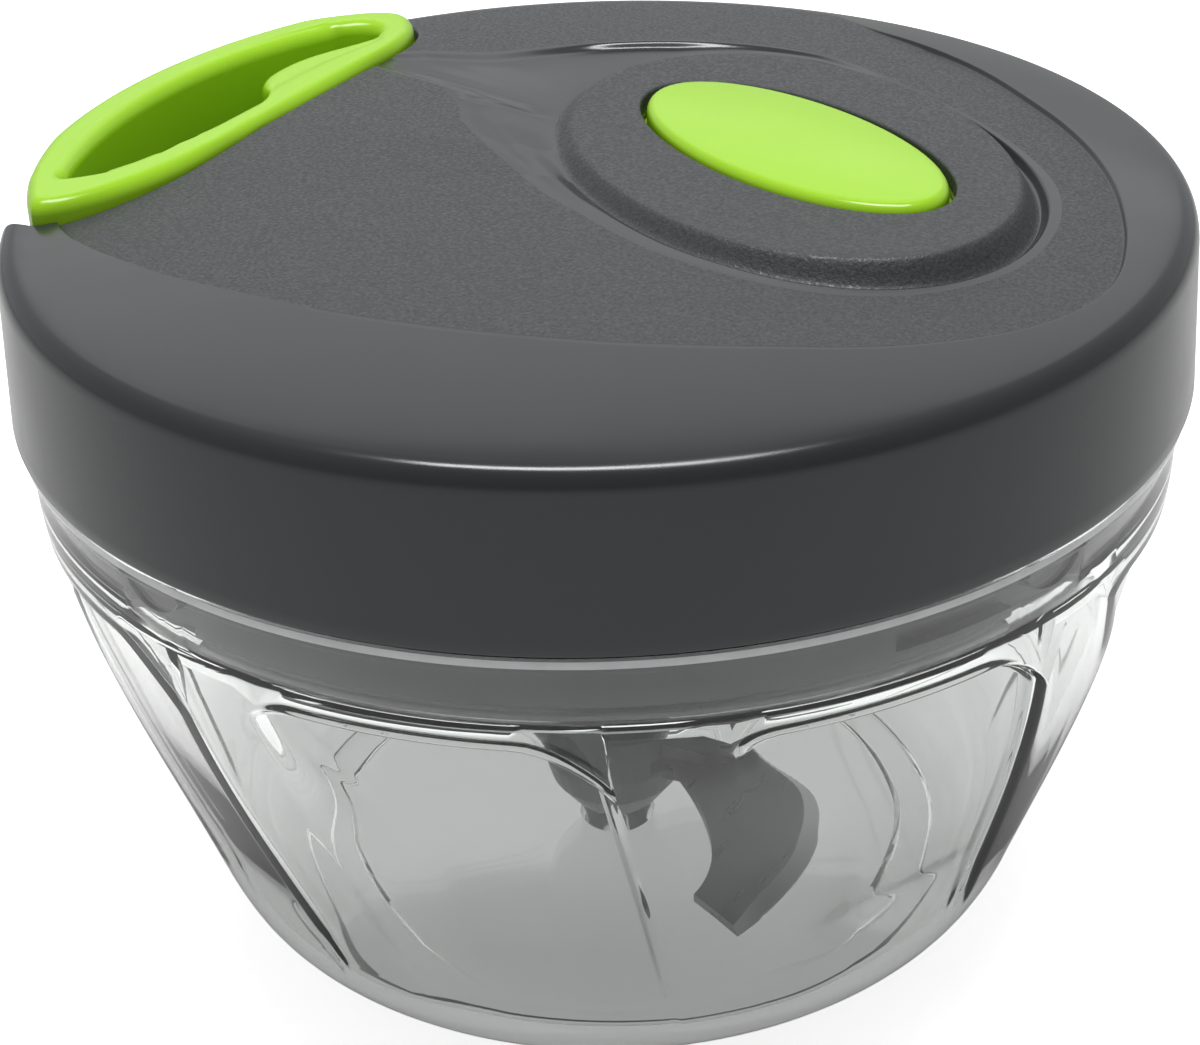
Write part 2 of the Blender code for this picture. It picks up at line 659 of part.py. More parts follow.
def make_lid_screw(name, degrees, body):
    """A self-tapping screw from below, through the base's floor into one of the cover's posts."""
    head_low = PLUG_Z + 0.1
    x, y = SCREW_R * math.cos(math.radians(degrees)), SCREW_R * math.sin(math.radians(degrees))
    profile = [(1.8, head_low), (2.7, head_low + 0.4), (2.7, BASE_FLOOR_Z - CLEAR), (1.4, BASE_FLOOR_Z - CLEAR),
               (1.4, BASE_FLOOR_Z + 8.0), (0.5, BASE_FLOOR_Z + 9.2)]
    add_piece(name, turned(profile, 10, (x, y)), "steel", body)


def handle_outline():
    """Plan outline of the handle: outer arc, far tip, inner edge, near tip; the opening's points pair with it."""
    rim = arc((0, 0), HANDLE_R, 180.0 + NEAR_TURN, 180.0 - FAR_TURN, 15)
    near, far = rim[0], rim[-1]
    near_tip = np.array((HANDLE_X - 7.4, near[1] - 15.9))
    far_tip = np.array((HANDLE_X - 6.3, far[1] + 8.7))
    near_curve = bezier(near_tip, near_tip + (-3.6, 2.15), near + (2.15, -5.5), near, 9)
    far_end = np.concatenate([bezier(far, far + (1.2, 2.9), far_tip - (3.8, 0.3), far_tip, 6)[:-1],
                              bezier(far_tip, far_tip + (2.8, 0.3), (HANDLE_X, 28.0), (HANDLE_X, 21.0), 5)])
    edge = np.array([(HANDLE_X, side) for side in np.linspace(18.5, -10.0, 13)])
    near_end = bezier((HANDLE_X, -13.0), (HANDLE_X, -24.0), near_tip + (3.2, 0.1), near_tip, 5)[:-1]
    rim = np.concatenate([near_curve[5:-1], rim[:-1]])
    near_end = np.concatenate([near_end, near_curve[:5]])
    return np.concatenate([rim, far_end, edge, near_end])


def loop_outline():
    """Plan outline of the finger opening, narrowed by the tongue that anchors the cord."""
    rim = arc((0, 0), LOOP_R, 207.0, 154.0, 18)[:-1]
    far = bezier(rim[-1] + (0.6, 1.8), (LOOP_X - 4.7, 27.2), (LOOP_X - 1.3, 28.0), (LOOP_X - 0.9, 25.2), 10)
    tongue = bezier((LOOP_X - 1.2, 23.6), (LOOP_X - 2.3, 20.5), (TONGUE_X, 17.0), (TONGUE_X, 11.0), 5)[:-1]
    step = bezier((TONGUE_X, 11.0), (TONGUE_X - 0.2, 4.0), (LOOP_X - 0.5, 6.0), (LOOP_X, 0.4), 6)[:-1]
    side = bezier((LOOP_X, 0.4), (LOOP_X, -9.0), (LOOP_X - 0.6, -17.0), (LOOP_X - 2.9, -22.4), 6)
    near = bezier((LOOP_X - 3.1, -22.9), (LOOP_X - 4.4, -25.9), (LOOP_X - 5.6, -27.2), (LOOP_X - 6.2, -26.4), 7)
    return np.concatenate([rim, far, tongue, step, side, near])


def spread(outline, grow):
    """Move every point of a closed outline outwards by a clearance."""
    along = np.roll(outline, -1, axis=0) - np.roll(outline, 1, axis=0)
    out = np.stack([along[:, 1], -along[:, 0]], axis=-1) / np.linalg.norm(along, axis=1)[:, None]
    area = np.sum(outline[:, 0] * np.roll(outline[:, 1], -1) - outline[:, 1] * np.roll(outline[:, 0], -1))
    return outline + out * (grow if area > 0.0 else -grow)


def make_handle(body):
    """The lime pull handle: a crescent ring with rounded edges and a bore for the cord's knot."""
    outer, inner = handle_outline(), loop_outline()
    across = inner - outer
    width = np.linalg.norm(across, axis=1)
    across /= width[:, None]
    soft = np.minimum(EDGE_SOFT, 0.34 * width)
    top = HANDLE_TOP

    def rim(start, inset, height):
        level = np.broadcast_to(height, width.shape)
        return np.column_stack([start + across * np.broadcast_to(inset, width.shape)[:, None], level])

    rings = [rim(outer, 0.0, HANDLE_LOW + 0.7), rim(outer, 0.0, top - soft), rim(outer, 0.3 * soft, top - 0.35 * soft),
             rim(outer, soft, top), rim(inner, -soft, top), rim(inner, -0.3 * soft, top - 0.35 * soft),
             rim(inner, 0.0, top - soft), rim(inner, 0.0, HANDLE_LOW + 0.5), rim(inner, -0.5, HANDLE_LOW),
             rim(outer, 0.7, HANDLE_LOW)]
    mesh = loft(rings, closed=True)
    cord_y = winding_radius()
    bore = rod_x(CORD_R + CLEAR, HANDLE_X + 3.0, TONGUE_X + 2.0, cord_y, CORD_Z)
    pocket = rod_x(2.1, KNOT_X + 1.8, KNOT_X - 5.0, cord_y, CORD_Z)
    add_piece("handle", cut(mesh, bore, pocket), "lime", body)


def winding_radius():
    """Radius of the cord's centre line on the drum."""
    return DRUM_R + CLEAR + CORD_R


def recess_tool(low):
    """The space that the handle's recess takes out of the lid, open above and along the pull from both tips."""
    outline = spread(handle_outline(), HANDLE_GAP)
    outline = np.roll(outline, -int(np.argmin(outline[:, 1])), axis=0)
    last = int(np.argmax(outline[:, 1]))
    sides = np.linspace(outline[0, 1], outline[last, 1], last - 1)
    outline[1:last] = np.column_stack([np.full(last - 1, -LID_R - 6.0), sides])
    return prism(outline, low, LID_Z + 40.0)


def cover_rings():
    """Rings of the cover's outer face from the button's hole out to the crease and down the skirt."""
    degrees = np.arange(0.0, 360.0, 5.0)
    hole = oval_radius(BUTTON_OVAL, degrees, BUTTON_GAP)
    collar = oval_radius(COLLAR_OVAL, degrees)
    foot = oval_radius(COLLAR_OVAL, degrees, COLLAR_SIDE)
    lip = np.minimum(closed_line(PANEL_LINE, degrees), round_radius(CREASE_R - 3.6, degrees))
    valley = np.clip(closed_line(VALLEY_LINE, degrees), foot + 1.0, lip - 1.6)
    step = LIP_STEP * lip_share(degrees)
    crease = round_radius(CREASE_R, degrees)
    rings = []

    def add(reach, height):
        x, y = plan_points(reach, degrees)
        rings.append(np.stack([x, y, LID_Z + np.broadcast_to(height, x.shape)], axis=-1))

    def top(reach, drop):
        return top_height(*plan_points(reach, degrees)) - drop

    add(hole, COLLAR_H)
    add(collar, COLLAR_H)
    add(collar + 0.55 * COLLAR_SIDE, COLLAR_H - 0.5)
    floor = top(foot, step + VALLEY_DEEP)
    add(foot, floor)
    add(0.5 * (foot + valley), top(0.5 * (foot + valley), step + VALLEY_DEEP * 0.8))
    add(valley, top(valley, step))
    add(lip - 0.7, top(lip - 0.7, step))
    add(lip, top(lip, 0.0))
    add(0.5 * (lip + crease), top(0.5 * (lip + crease), 0.0))
    add(round_radius(CREASE_R - 2.1, degrees), top_height(CREASE_R - 2.1, 0.0))
    add(round_radius(CREASE_R - 0.6, degrees), CREASE_H + 0.45)
    add(crease, CREASE_H - 0.5)
    add(round_radius(LID_R, degrees), 0.0)
    return rings, degrees, hole, foot


def lip_share(degrees):
    """Share of the lip's step at each angle: the glossy ring runs out at the back, where the panel meets the skirt."""
    share = np.abs((degrees - 152.0 + 180.0) % 360.0 - 180.0)
    return np.clip((share - 40.0) / 16.0, 0.0, 1.0)


def make_lid_cover(body):
    """The lid's outer shell: skirt, crowned top with valley and collar, recess, posts and openings."""
    rings, degrees, hole, foot = cover_rings()
    inner_r = LID_R - COVER_T

    def under(reach, height):
        x, y = plan_points(reach, degrees)
        valley_floor = LID_Z + top_height(x, y) - LIP_STEP - VALLEY_DEEP
        level = np.full(len(x), height)
        if height > shoulder and height <= CEILING_Z:
            level = np.minimum(level, valley_floor - CROWN_WALL)
        return np.stack([x, y, level], axis=-1)

    shoulder = LID_Z + CREASE_H - 1.9
    rings += [under(round_radius(inner_r, degrees), LID_Z),
              under(round_radius(inner_r - 0.6, degrees), shoulder - 1.2),
              under(round_radius(inner_r - 3.0, degrees), shoulder),
              under(np.maximum(foot + 2.0, round_radius(30.0, degrees)), CEILING_Z - 0.1),
              under(foot, CEILING_Z),
              under(0.5 * (foot + hole), LID_Z + COLLAR_H - COVER_T - 0.3),
              under(hole, LID_Z + COLLAR_H - COVER_T - 0.3)]
    shell = loft(rings, closed=True)
    add_piece("lid_cover", finish_cover(shell), "slate_gloss", body)


def finish_cover(shell):
    """Add the recess walls, the screw posts and the cord's hole to the shell."""
    floor_top = HANDLE_LOW - HANDLE_GAP
    pocket = recess_body(floor_top - RECESS_FLOOR_T)
    shell = fuse(shell, pocket)
    for degrees in SCREW_AT:
        x, y = SCREW_R * math.cos(math.radians(degrees)), SCREW_R * math.sin(math.radians(degrees))
        post = turned([(3.6, BASE_FLOOR_Z + BASE_FLOOR_T + CLEAR), (4.2, LID_Z + CREASE_H)], 16, (x, y))
        shell = fuse(shell, post)
    shell = cut(shell, recess_tool(floor_top))
    for degrees in SCREW_AT:
        x, y = SCREW_R * math.cos(math.radians(degrees)), SCREW_R * math.sin(math.radians(degrees))
        shell = cut(shell, turned([(1.4 + CLEAR, BASE_FLOOR_Z), (1.4 + CLEAR, BASE_FLOOR_Z + 11.0)], 12, (x, y)))
    hole = rod_x(1.9 + CLEAR, HANDLE_X + 4.0, HANDLE_X - 4.0, winding_radius(), CORD_Z)
    return cut(shell, hole)


def recess_body(low):
    """A block round the handle's recess that becomes its wall and floor once the recess is cut."""
    outline = spread(handle_outline(), HANDLE_GAP + RECESS_WALL)
    far = np.hypot(outline[:, 0], outline[:, 1])
    outline *= np.minimum(1.0, (LID_R - COVER_T * 0.5) / far)[:, None]
    return prism(outline, low, LID_Z + CREASE_H - 0.2)


def make_cord_guide(body):
    """The flanged bush that the cord runs through in the recess wall."""
    y = winding_radius()
    inside = HANDLE_X + HANDLE_GAP + RECESS_WALL + 0.3
    outside = HANDLE_X + HANDLE_GAP + 0.15
    turn = np.linspace(0.0, 2.0 * math.pi, 20, endpoint=False)
    profile = [(1.0, outside), (1.9, outside), (1.9, inside), (3.0, inside), (3.0, inside + 1.0), (1.6, inside + 1.6),
               (1.0, inside + 1.6)]
    rings = []
    for radius, x in profile:
        rings.append(np.stack([np.full(20, x), y + radius * np.cos(turn), CORD_Z + radius * np.sin(turn)], axis=-1))
    add_piece("cord_guide", loft(rings, closed=True), "natural", body)


def make_spring_cup(body):
    """The cup under the cover that holds the recoil spring, with an ear that guides the button's stem."""
    inner = CUP_R - CUP_WALL
    hole = SPINDLE_R + CLEAR
    profile = [(hole, CUP_TOP - 1.2), (inner, CUP_TOP - 1.2), (inner, CUP_LOW), (CUP_R, CUP_LOW), (CUP_R, CUP_TOP),
               (hole, CUP_TOP)]
    mesh = tube_wall(profile, 36)
    angle = math.degrees(math.atan2(STEM_AT[1], STEM_AT[0]))
    ear = sector(CUP_R - 0.8, math.hypot(*STEM_AT) + 3.6, angle, 9.0, SEAT_Z - 1.0, SEAT_Z)
    eye = turned([(STEM_R + CLEAR, SEAT_Z - 3.0), (STEM_R + CLEAR, SEAT_Z + 3.0)], 16, STEM_AT)
    add_piece("spring_cup", cut(fuse(mesh, ear), eye), "dark", body)


def make_recoil_spring(body):
    """The flat spiral spring that winds the cord back."""
    steps = SPRING_TURNS * 18 + 1
    turn = np.linspace(0.0, SPRING_TURNS * 2.0 * math.pi, steps)
    radius = np.linspace(SPRING_IN_R, SPRING_OUT_R, steps)
    half = SPRING_T / 2
    rings = []
    for low, side in ((SPRING_LOW, -half), (SPRING_LOW, half), (SPRING_TOP, half), (SPRING_TOP, -half)):
        rings.append(np.stack([(radius + side) * np.cos(turn), (radius + side) * np.sin(turn),
                               np.full(steps, low)], axis=-1))
    sections = [np.array([ring[k] for ring in rings]) for k in range(steps)]
    print("recoil spring: least gap between turns",
          round((SPRING_OUT_R - SPRING_IN_R) / SPRING_TURNS - SPRING_T, 2), "mm")
    add_piece("recoil_spring", loft(sections), "steel", body)


def make_spindle(body):
    """The steel shoulder screw that the spool turns on, hanging in the spring cup."""
    head = SPINDLE_R + 1.4
    profile = [(head - 1.7, HUB_LOW - 1.7), (head, HUB_LOW - 1.3), (head, HUB_LOW - CLEAR),
               (SPINDLE_R, HUB_LOW - CLEAR), (SPINDLE_R, CUP_TOP - 0.3), (SPINDLE_R - 0.4, CUP_TOP - 0.1)]
    add_piece("spindle", turned(profile, 24), "steel", body)


def make_spool(body):
    """The cord spool: two flanges, drum, long hub and two pawl pins."""
    bore = SPINDLE_R + CLEAR
    low, top = DRUM_LOW - SPOOL_FLANGE, DRUM_TOP + SPOOL_FLANGE
    profile = [(bore, HUB_LOW), (HUB_R, HUB_LOW), (HUB_R, low), (SPOOL_R, low), (SPOOL_R, DRUM_LOW), (DRUM_R, DRUM_LOW),
               (DRUM_R, DRUM_TOP), (SPOOL_R, DRUM_TOP), (SPOOL_R, top), (HUB_R, top), (HUB_R, SPRING_TOP - 0.3),
               (bore, SPRING_TOP - 0.3)]
    mesh = tube_wall(profile, 36)
    for degrees in (90.0, 270.0):
        x, y = PAWL_AT * math.cos(math.radians(degrees)), PAWL_AT * math.sin(math.radians(degrees))
        mesh = fuse(mesh, turned([(1.0, PAWL_LOW - CLEAR), (1.0, low + 0.4)], 12, (x, y)))
    add_piece("spool", mesh, "natural", body)


def make_cord_winding(body):
    """Three turns of cord on the drum, climbing to where the cord leaves."""
    steps = int(CORD_TURNS * 24) + 1
    turn = np.linspace(-CORD_TURNS * 2.0 * math.pi, 0.0, steps) + math.pi / 2
    height = CORD_Z + CORD_PITCH * (turn - math.pi / 2) / (2.0 * math.pi)
    radius = winding_radius()
    line = np.stack([radius * np.cos(turn), radius * np.sin(turn), height], axis=-1)
    print("cord winding: least gap between turns", round(CORD_PITCH - 2 * CORD_R, 2), "mm")
    add_piece("cord_winding", sweep(line, CORD_R, 6), "cord", body)


def sweep(line, radius, sides):
    """A round tube along a line of points, with its rings square to the line."""
    lean = np.gradient(line, axis=0)
    lean /= np.linalg.norm(lean, axis=1)[:, None]
    side = np.cross(lean, (0.0, 0.0, 1.0))
    side /= np.linalg.norm(side, axis=1)[:, None]
    up = np.cross(side, lean)
    turn = np.linspace(0.0, 2.0 * math.pi, sides, endpoint=False)
    rings = []
    for point, s, u in zip(line, side, up):
        rings.append(point + radius * (np.cos(turn)[:, None] * s + np.sin(turn)[:, None] * u))
    return loft(rings)


def make_cord_run(body):
    """The straight stretch of cord from the spool's edge to the mouth of the guide."""
    mesh = rod_x(CORD_R, -8.5, HANDLE_X + HANDLE_GAP + 0.1, winding_radius(), CORD_Z, 10)
    add_piece("cord_run", mesh, "cord", body)


def make_drive_coupling(body):
    """The coupling under the spool: ratchet ring above, neck through the floor, dog socket below."""
    floor = BASE_FLOOR_Z + BASE_FLOOR_T + CLEAR
    degrees, teeth = ratchet_teeth()
    turn = np.radians(degrees)
    rows = [(SOCKET_R, SOCKET_LOW), (NECK_R, SOCKET_LOW), (NECK_R, floor), (RATCHET_R, floor), (RATCHET_R, 65.0),
            (teeth, 65.0), (teeth, floor + 1.3), (1.0, floor + 1.3), (1.0, floor), (SOCKET_R, floor)]
    mesh = loft([np.stack([r * np.cos(turn), r * np.sin(turn), np.full(len(turn), z)], -1) for r, z in rows],
                closed=True)
    for side in (90.0, 270.0):
        lug = np.concatenate([arc((0, 0), SOCKET_R + 0.6, -14.0, 14.0, 4), arc((0, 0), HEAD_R + 0.5, 14.0, -14.0, 4)])
        mesh = fuse(mesh, moved(prism(lug, SOCKET_LOW + 0.4, floor + 0.4), turn=side))
    add_piece("drive_coupling", mesh, "natural", body)


def ratchet_teeth():
    """Angles and radii of the saw-toothed inside of the ratchet ring; its steep flanks face clockwise."""
    degrees, radii = [], []
    step = 360.0 / RATCHET_TEETH
    for k in range(RATCHET_TEETH):
        for share in (0.0, 0.3, 0.61, 0.92):
            degrees.append((k + share) * step + RATCHET_PHASE)
            radii.append(RATCHET_TIP + (RATCHET_ROOT - RATCHET_TIP) * share / 0.92)
    return np.asarray(degrees), np.asarray(radii)


def make_pawl(name, degrees, body):
    """One pawl on its pin, with its tip in the ratchet ring ahead of the pin."""
    x, y = PAWL_AT * math.cos(math.radians(degrees)), PAWL_AT * math.sin(math.radians(degrees))
    eye = tube_wall([(1.0 + CLEAR, PAWL_LOW), (2.3, PAWL_LOW), (2.3, PAWL_TOP), (1.0 + CLEAR, PAWL_TOP)], 18)
    arm = prism([(-0.8, -1.6), (-3.4, -0.9), (-6.6, 0.3), (-7.2, 1.0), (-7.1, 1.6), (-4.4, 2.35), (-1.2, 2.1)],
                PAWL_LOW + 0.1, PAWL_TOP - 0.1)
    arm = cut(arm, turned([(1.8, PAWL_LOW - 1.0), (1.8, PAWL_TOP + 1.0)], 12))
    mesh = moved(fuse(eye, arm), turn=degrees - 90.0)
    add_piece(name, moved(mesh, x=x, y=y), "steel", body, (x, y, 63.5))


def make_button(body):
    """The oval lime button: crowned top, rounded rim, retaining lip and a stem towards the spool."""
    degrees = np.arange(0.0, 360.0, 9.0)
    lip_top = LID_Z + COLLAR_H - COVER_T - 0.3 - CLEAR
    lip_low = lip_top - BUTTON_LIP

    def oval(grow, height):
        reach = oval_radius(BUTTON_OVAL, degrees, grow)
        x, y = plan_points(reach, degrees)
        return np.stack([x, y, np.broadcast_to(height, x.shape)], axis=-1)

    flange = BUTTON_GAP + 0.7
    rings = [oval(flange, lip_low), oval(flange, lip_top), oval(0.0, lip_top), oval(0.0, BUTTON_TOP - 1.3),
             oval(-0.4, BUTTON_TOP - 0.6), oval(-1.2, BUTTON_TOP - 0.2), oval(-4.5, BUTTON_TOP)]
    stem_low = DRUM_TOP + SPOOL_FLANGE + BUTTON_TRAVEL + CLEAR
    stem = turned([(STEM_R, stem_low), (STEM_R, lip_low + 0.5)], 16, STEM_AT)
    add_piece("button", fuse(loft(rings), stem), "lime", body)


def make_button_spring(body):
    """The small coil spring round the button's stem."""
    lip_low = LID_Z + COLLAR_H - COVER_T - 0.3 - CLEAR - BUTTON_LIP
    wire = 0.25
    low, high = SEAT_Z + CLEAR + wire, lip_low - CLEAR - wire
    turns = 2.0
    steps = int(turns * 18) + 1
    turn = np.linspace(0.0, turns * 2.0 * math.pi, steps)
    radius = STEM_R + CLEAR + wire + 0.75
    line = np.stack([STEM_AT[0] + radius * np.cos(turn), STEM_AT[1] + radius * np.sin(turn),
                     np.linspace(low, high, steps)], axis=-1)
    print("button spring: least gap between turns", round((high - low) / turns - 2 * wire, 2), "mm")
    add_piece("button_spring", sweep(line, wire, 6), "steel", body)


def make_cord_tail(body):
    """The end of the cord in the handle's bore, up to its knot."""
    mesh = rod_x(CORD_R, HANDLE_X - 0.1, KNOT_X + 1.7, winding_radius(), CORD_Z, 10)
    add_piece("cord_tail", mesh, "cord", body)


def make_cord_knot(body):
    """The knot that stops the cord in the handle's pocket."""
    x_from, x_to = KNOT_X + 1.4, KNOT_X - 1.4
    turn = np.linspace(0.0, 2.0 * math.pi, 12, endpoint=False)
    rings = []
    for share in (0.04, 0.2, 0.42, 0.58, 0.8, 0.96):
        radius = 1.75 * math.sin(math.pi * share) * (1.0 - 0.18 * math.cos(4.0 * math.pi * share))
        x = x_from + (x_to - x_from) * share
        rings.append(np.stack([np.full(12, x), winding_radius() + radius * np.cos(turn),
                               CORD_Z + radius * np.sin(turn)], axis=-1))
    add_piece("cord_knot", loft(rings), "cord", body)


def main():
    """Build every piece under the empty of the body that carries it."""
    clear_scene()
    bowl = add_body("bowl_body")
    blades = add_body("blades_body", bowl)
    seal = add_body("seal_body", bowl)
    lid = add_body("lid_body", seal)
    spool = add_body("spool_body", lid)
    drive = add_body("drive_body", lid)
    handle = add_body("handle_body", lid)
    button = add_body("button_body", lid, (STEM_AT[0], STEM_AT[1], SEAT_Z))
    make_bowl(bowl)
    make_centre_pin(bowl)
    make_shaft(blades)
    for k, (name, level) in enumerate(zip(("blade_lower", "blade_middle", "blade_upper"), BLADE_LEVELS)):
        make_blade(name, level, BLADE_TIP_AT + 120.0 * k, blades)
    make_seal(seal)
    make_lid_cover(lid)
    make_lid_base(lid)
    for name, degrees in zip(("lid_screw_a", "lid_screw_b", "lid_screw_c"), SCREW_AT):
        make_lid_screw(name, degrees, lid)
    make_spring_cup(lid)
    make_recoil_spring(lid)
    make_spindle(lid)
    make_cord_guide(lid)
    make_cord_run(lid)
    make_spool(spool)
    make_cord_winding(spool)
    make_drive_coupling(drive)
    make_pawl("pawl_a", 90.0, spool)
    make_pawl("pawl_b", 270.0, spool)
    make_handle(handle)
    make_cord_tail(handle)
    make_cord_knot(handle)
    make_button(button)
    make_button_spring(lid)


main()
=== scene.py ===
"""Looks of the pull-cord chopper: clear bowl, slate lid, lime handle and button, cord, spool and blades.

Lengths inside the shape functions are millimetres in the part's frame; meshes are written in metres.
"""

import math

import bpy
import numpy as np
from mathutils import Matrix, Vector


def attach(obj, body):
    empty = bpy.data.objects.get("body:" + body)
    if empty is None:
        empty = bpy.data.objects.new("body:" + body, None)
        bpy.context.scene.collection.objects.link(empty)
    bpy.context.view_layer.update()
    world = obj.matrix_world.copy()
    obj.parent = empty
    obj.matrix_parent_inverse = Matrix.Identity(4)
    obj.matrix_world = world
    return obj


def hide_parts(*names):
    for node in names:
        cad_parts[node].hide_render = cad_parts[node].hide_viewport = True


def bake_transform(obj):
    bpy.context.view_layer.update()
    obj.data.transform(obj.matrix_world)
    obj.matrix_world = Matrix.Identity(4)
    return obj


bl_info = {
    "name": "Pull-cord chopper looks",
    "version": (1, 0, 0),
    "blender": (4, 5, 0),
    "location": "3D View > Sidebar > Chopper",
    "description": "Builds the visible surfaces, finishes and studio of a pull-cord vegetable chopper",
    "category": "Object",
}

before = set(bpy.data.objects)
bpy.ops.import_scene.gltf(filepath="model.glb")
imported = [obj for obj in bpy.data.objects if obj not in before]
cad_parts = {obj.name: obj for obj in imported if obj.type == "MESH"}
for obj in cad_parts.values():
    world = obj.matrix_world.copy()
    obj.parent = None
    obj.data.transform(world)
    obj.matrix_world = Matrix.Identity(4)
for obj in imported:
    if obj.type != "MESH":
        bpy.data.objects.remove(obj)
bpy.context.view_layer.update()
MM = 0.001
LID_FINISHES = ["slate_gloss", "slate_grain"]
# the bowl's second finish is the flange edge's painted highlight
BOWL_FINISHES = ["clear_bowl", "clear_rim_painted_highlight"]

# Lid, in millimetres
LID_Z = 63.8
LID_R = 62.5
CREASE_R = 61.75
CREASE_H = 17.6
CROWN_H = 3.6
COVER_T = 2.2
CROWN_WALL = 1.5
LIP_STEP = 0.5
VALLEY_DEEP = 0.9
LIP_WIDE = 0.45
COLLAR_H = 21.4
COLLAR_EDGE = 0.5
HOLE_ROUND = 0.35
COLLAR_CEILING = LID_Z + COLLAR_H - COVER_T - 0.3
CEILING_Z = 80.0
POLE = np.array((19.0, 7.9))
BUTTON_OVAL = (16.3, 13.1, 21.8, 9.95, 155.7)
BUTTON_GAP = 0.7
COLLAR_OVAL = (16.5, 12.0, 30.8, 20.7, 145.8)
COLLAR_SIDE = 1.7
PANEL_LINE = ((-160, 78.0), (-146, 75.1), (-135, 66.8), (-125, 59.0), (-114, 52.4), (-99, 45.8),
              (-83, 41.6), (-68, 39.6), (-47, 39.8), (-26, 40.1), (-13, 38.8), (2, 35.8), (13, 34.0),
              (25, 32.9), (40, 32.5), (55, 33.2), (71, 35.5), (86, 40.2), (98, 45.2), (107, 50.2),
              (114, 58.0), (150, 70.0), (180, 78.0))
VALLEY_LINE = ((-175, 37.6), (-164, 31.4), (-150, 26.5), (-138, 24.4), (-129, 23.2), (-114, 22.7),
               (-95, 23.5), (-79, 24.9), (-67, 26.7), (-57, 28.2), (-41, 29.9), (-21, 30.1), (2, 28.4),
               (23, 26.8), (38, 25.6), (55, 25.2), (76, 26.5), (91, 29.7), (100, 32.7), (117, 38.0),
               (131, 42.1), (145, 46.1), (154, 48.7), (160, 51.8), (165, 59.3), (168, 63.0), (171, 61.0),
               (173, 48.4), (176, 43.6))
SCREW_R = 49.0
SCREW_AT = (3.0, 118.0, 242.0)
SCREW_CORE = 1.4
POST_R = 4.0
POST_BORE = 1.7
SHARP_ANGLE = 35.0

# Plug and seal
PLUG_R = 59.1
PLUG_IN_R = 55.8
PLUG_Z = 56.5
GROOVE_R = 57.6
NECK_BORE = 10.3
RIM_T = 2.0
SEAL_LOW = 55.3
SEAL_T = 0.9
FLOOR_Z = 58.0
FLOOR_T = 2.0
BORE_R = 59.5
LUG_TOP = LID_Z - 2.1
LUG_AT = -105.0
LUG_WIDE = 8.4
LUG_DROP = 3.5
LUG_DEEP = 1.5
TWIST = 13.0

# Handle
HANDLE_R = 60.6
HANDLE_X = -40.0
NEAR_TURN = 17.0
FAR_TURN = 23.0
HANDLE_LOW = 70.8
HANDLE_TOP = 84.7
HANDLE_GAP = 0.4
LOOP_R = HANDLE_R - 5.0
LOOP_X = HANDLE_X - 3.5
TONGUE_X = HANDLE_X - 8.7
KNOT_X = TONGUE_X + 3.4
POCKET_R = 2.1
GUIDE_R = 1.9

# Cord and drive
CORD_R = 0.7
CORD_Z = 73.2
CORD_Y = 16.4
CORD_PITCH = 1.9
CORD_TURNS = 3.0

# Bowl
BAND_R = 61.0
BAND_LOW = 56.2
FLANGE_R = 61.9
WALL = 2.8
FOOT_R = 37.5
FOOT_W = 4.0
FOOT_H = 1.2
BOWL_FLOOR_T = 2.4
CORNER_R = 47.4
CORNER_Z = 10.0
FLOOR_RISE = 1.2
PANELS = 8
PANEL_EDGE = -60.0
PANEL_LEAN = 8.0
PANEL_WIDE = 34.0
PANEL_TOP = 52.7
PANEL_FLAT = 0.45
LEDGE_FADE = 30.0
CLEAR = 0.3
BOWL_IOR = 1.49

# Button
BUTTON_TOP = 86.3
STEM_AT = (22.4, 3.4)
BUTTON_ROUND = 1.2
BUTTON_SPRING_Z = (78.95, 81.0)
BUTTON_SPRING_R = 2.9
BUTTON_WIRE_R = 0.25

# Blades
BLADE_T = 1.0
BLADE_REACH = 38.5
BLADE_LEVELS = {"blade_lower": 13.8, "blade_middle": 26.5, "blade_upper": 39.2}
BLADE_TIP_AT = -41.0
EDGE_STEPS = 49

# Camera, in metres, fitted to the photograph's ellipses
CAMERA_AT = (0.13485, -0.22443, 0.19055)
CAMERA_AHEAD = (-0.45037, 0.74419, -0.49330)
CAMERA_UP = (-0.22302, 0.44123, 0.86924)
VIEWER_SIDE = (0.64, -0.74, 0.20)
LAMP_TARGET = (0.0, 0.0, 0.06)


def number(name, text, value, high, **settings):
    """A number property from 0, or the given min, up to its highest value."""
    settings.setdefault("min", 0.0)
    return bpy.props.FloatProperty(name=name, description=text, default=value, max=high, **settings)


def span(name, text, value, low, high):
    """A length property in metres."""
    return number(name, text, value, high, min=low, unit="LENGTH", subtype="DISTANCE", precision=5)


def rgb(name, text, value):
    """A colour property in linear light."""
    return bpy.props.FloatVectorProperty(name=name, description=text, default=value, size=3, min=0.0, max=1.0,
                                         subtype="COLOR")


class ChopperSizes(bpy.types.PropertyGroup):
    """Sizes that a user would change on the visible surfaces."""

    panel_depth: span("Panel depth", "Depth of the bowl's grip panels", 0.0004, 0.0, 0.0016)
    edge_round: span("Edge rounding", "Radius of the handle's rounded edges", 0.0016, 0.0005, 0.002)
    crease_round: span("Crease rounding", "Width of the roll between the lid's top and skirt", 0.0018, 0.0006,
                       0.003)
    recess_round: span("Recess rounding", "Radius of the edge of the handle's recess", 0.0005, 0.0001, 0.001)
    button_crown: span("Button crown", "Rise of the button's top above its rounded rim", 0.0006, 0.0, 0.001)
    cord_radius: span("Cord radius", "Half the cord's thickness", 0.0007, 0.0005, 0.0009)
    blade_bevel: span("Blade bevel", "Width of the ground edge of a blade", 0.002, 0.0005, 0.003)


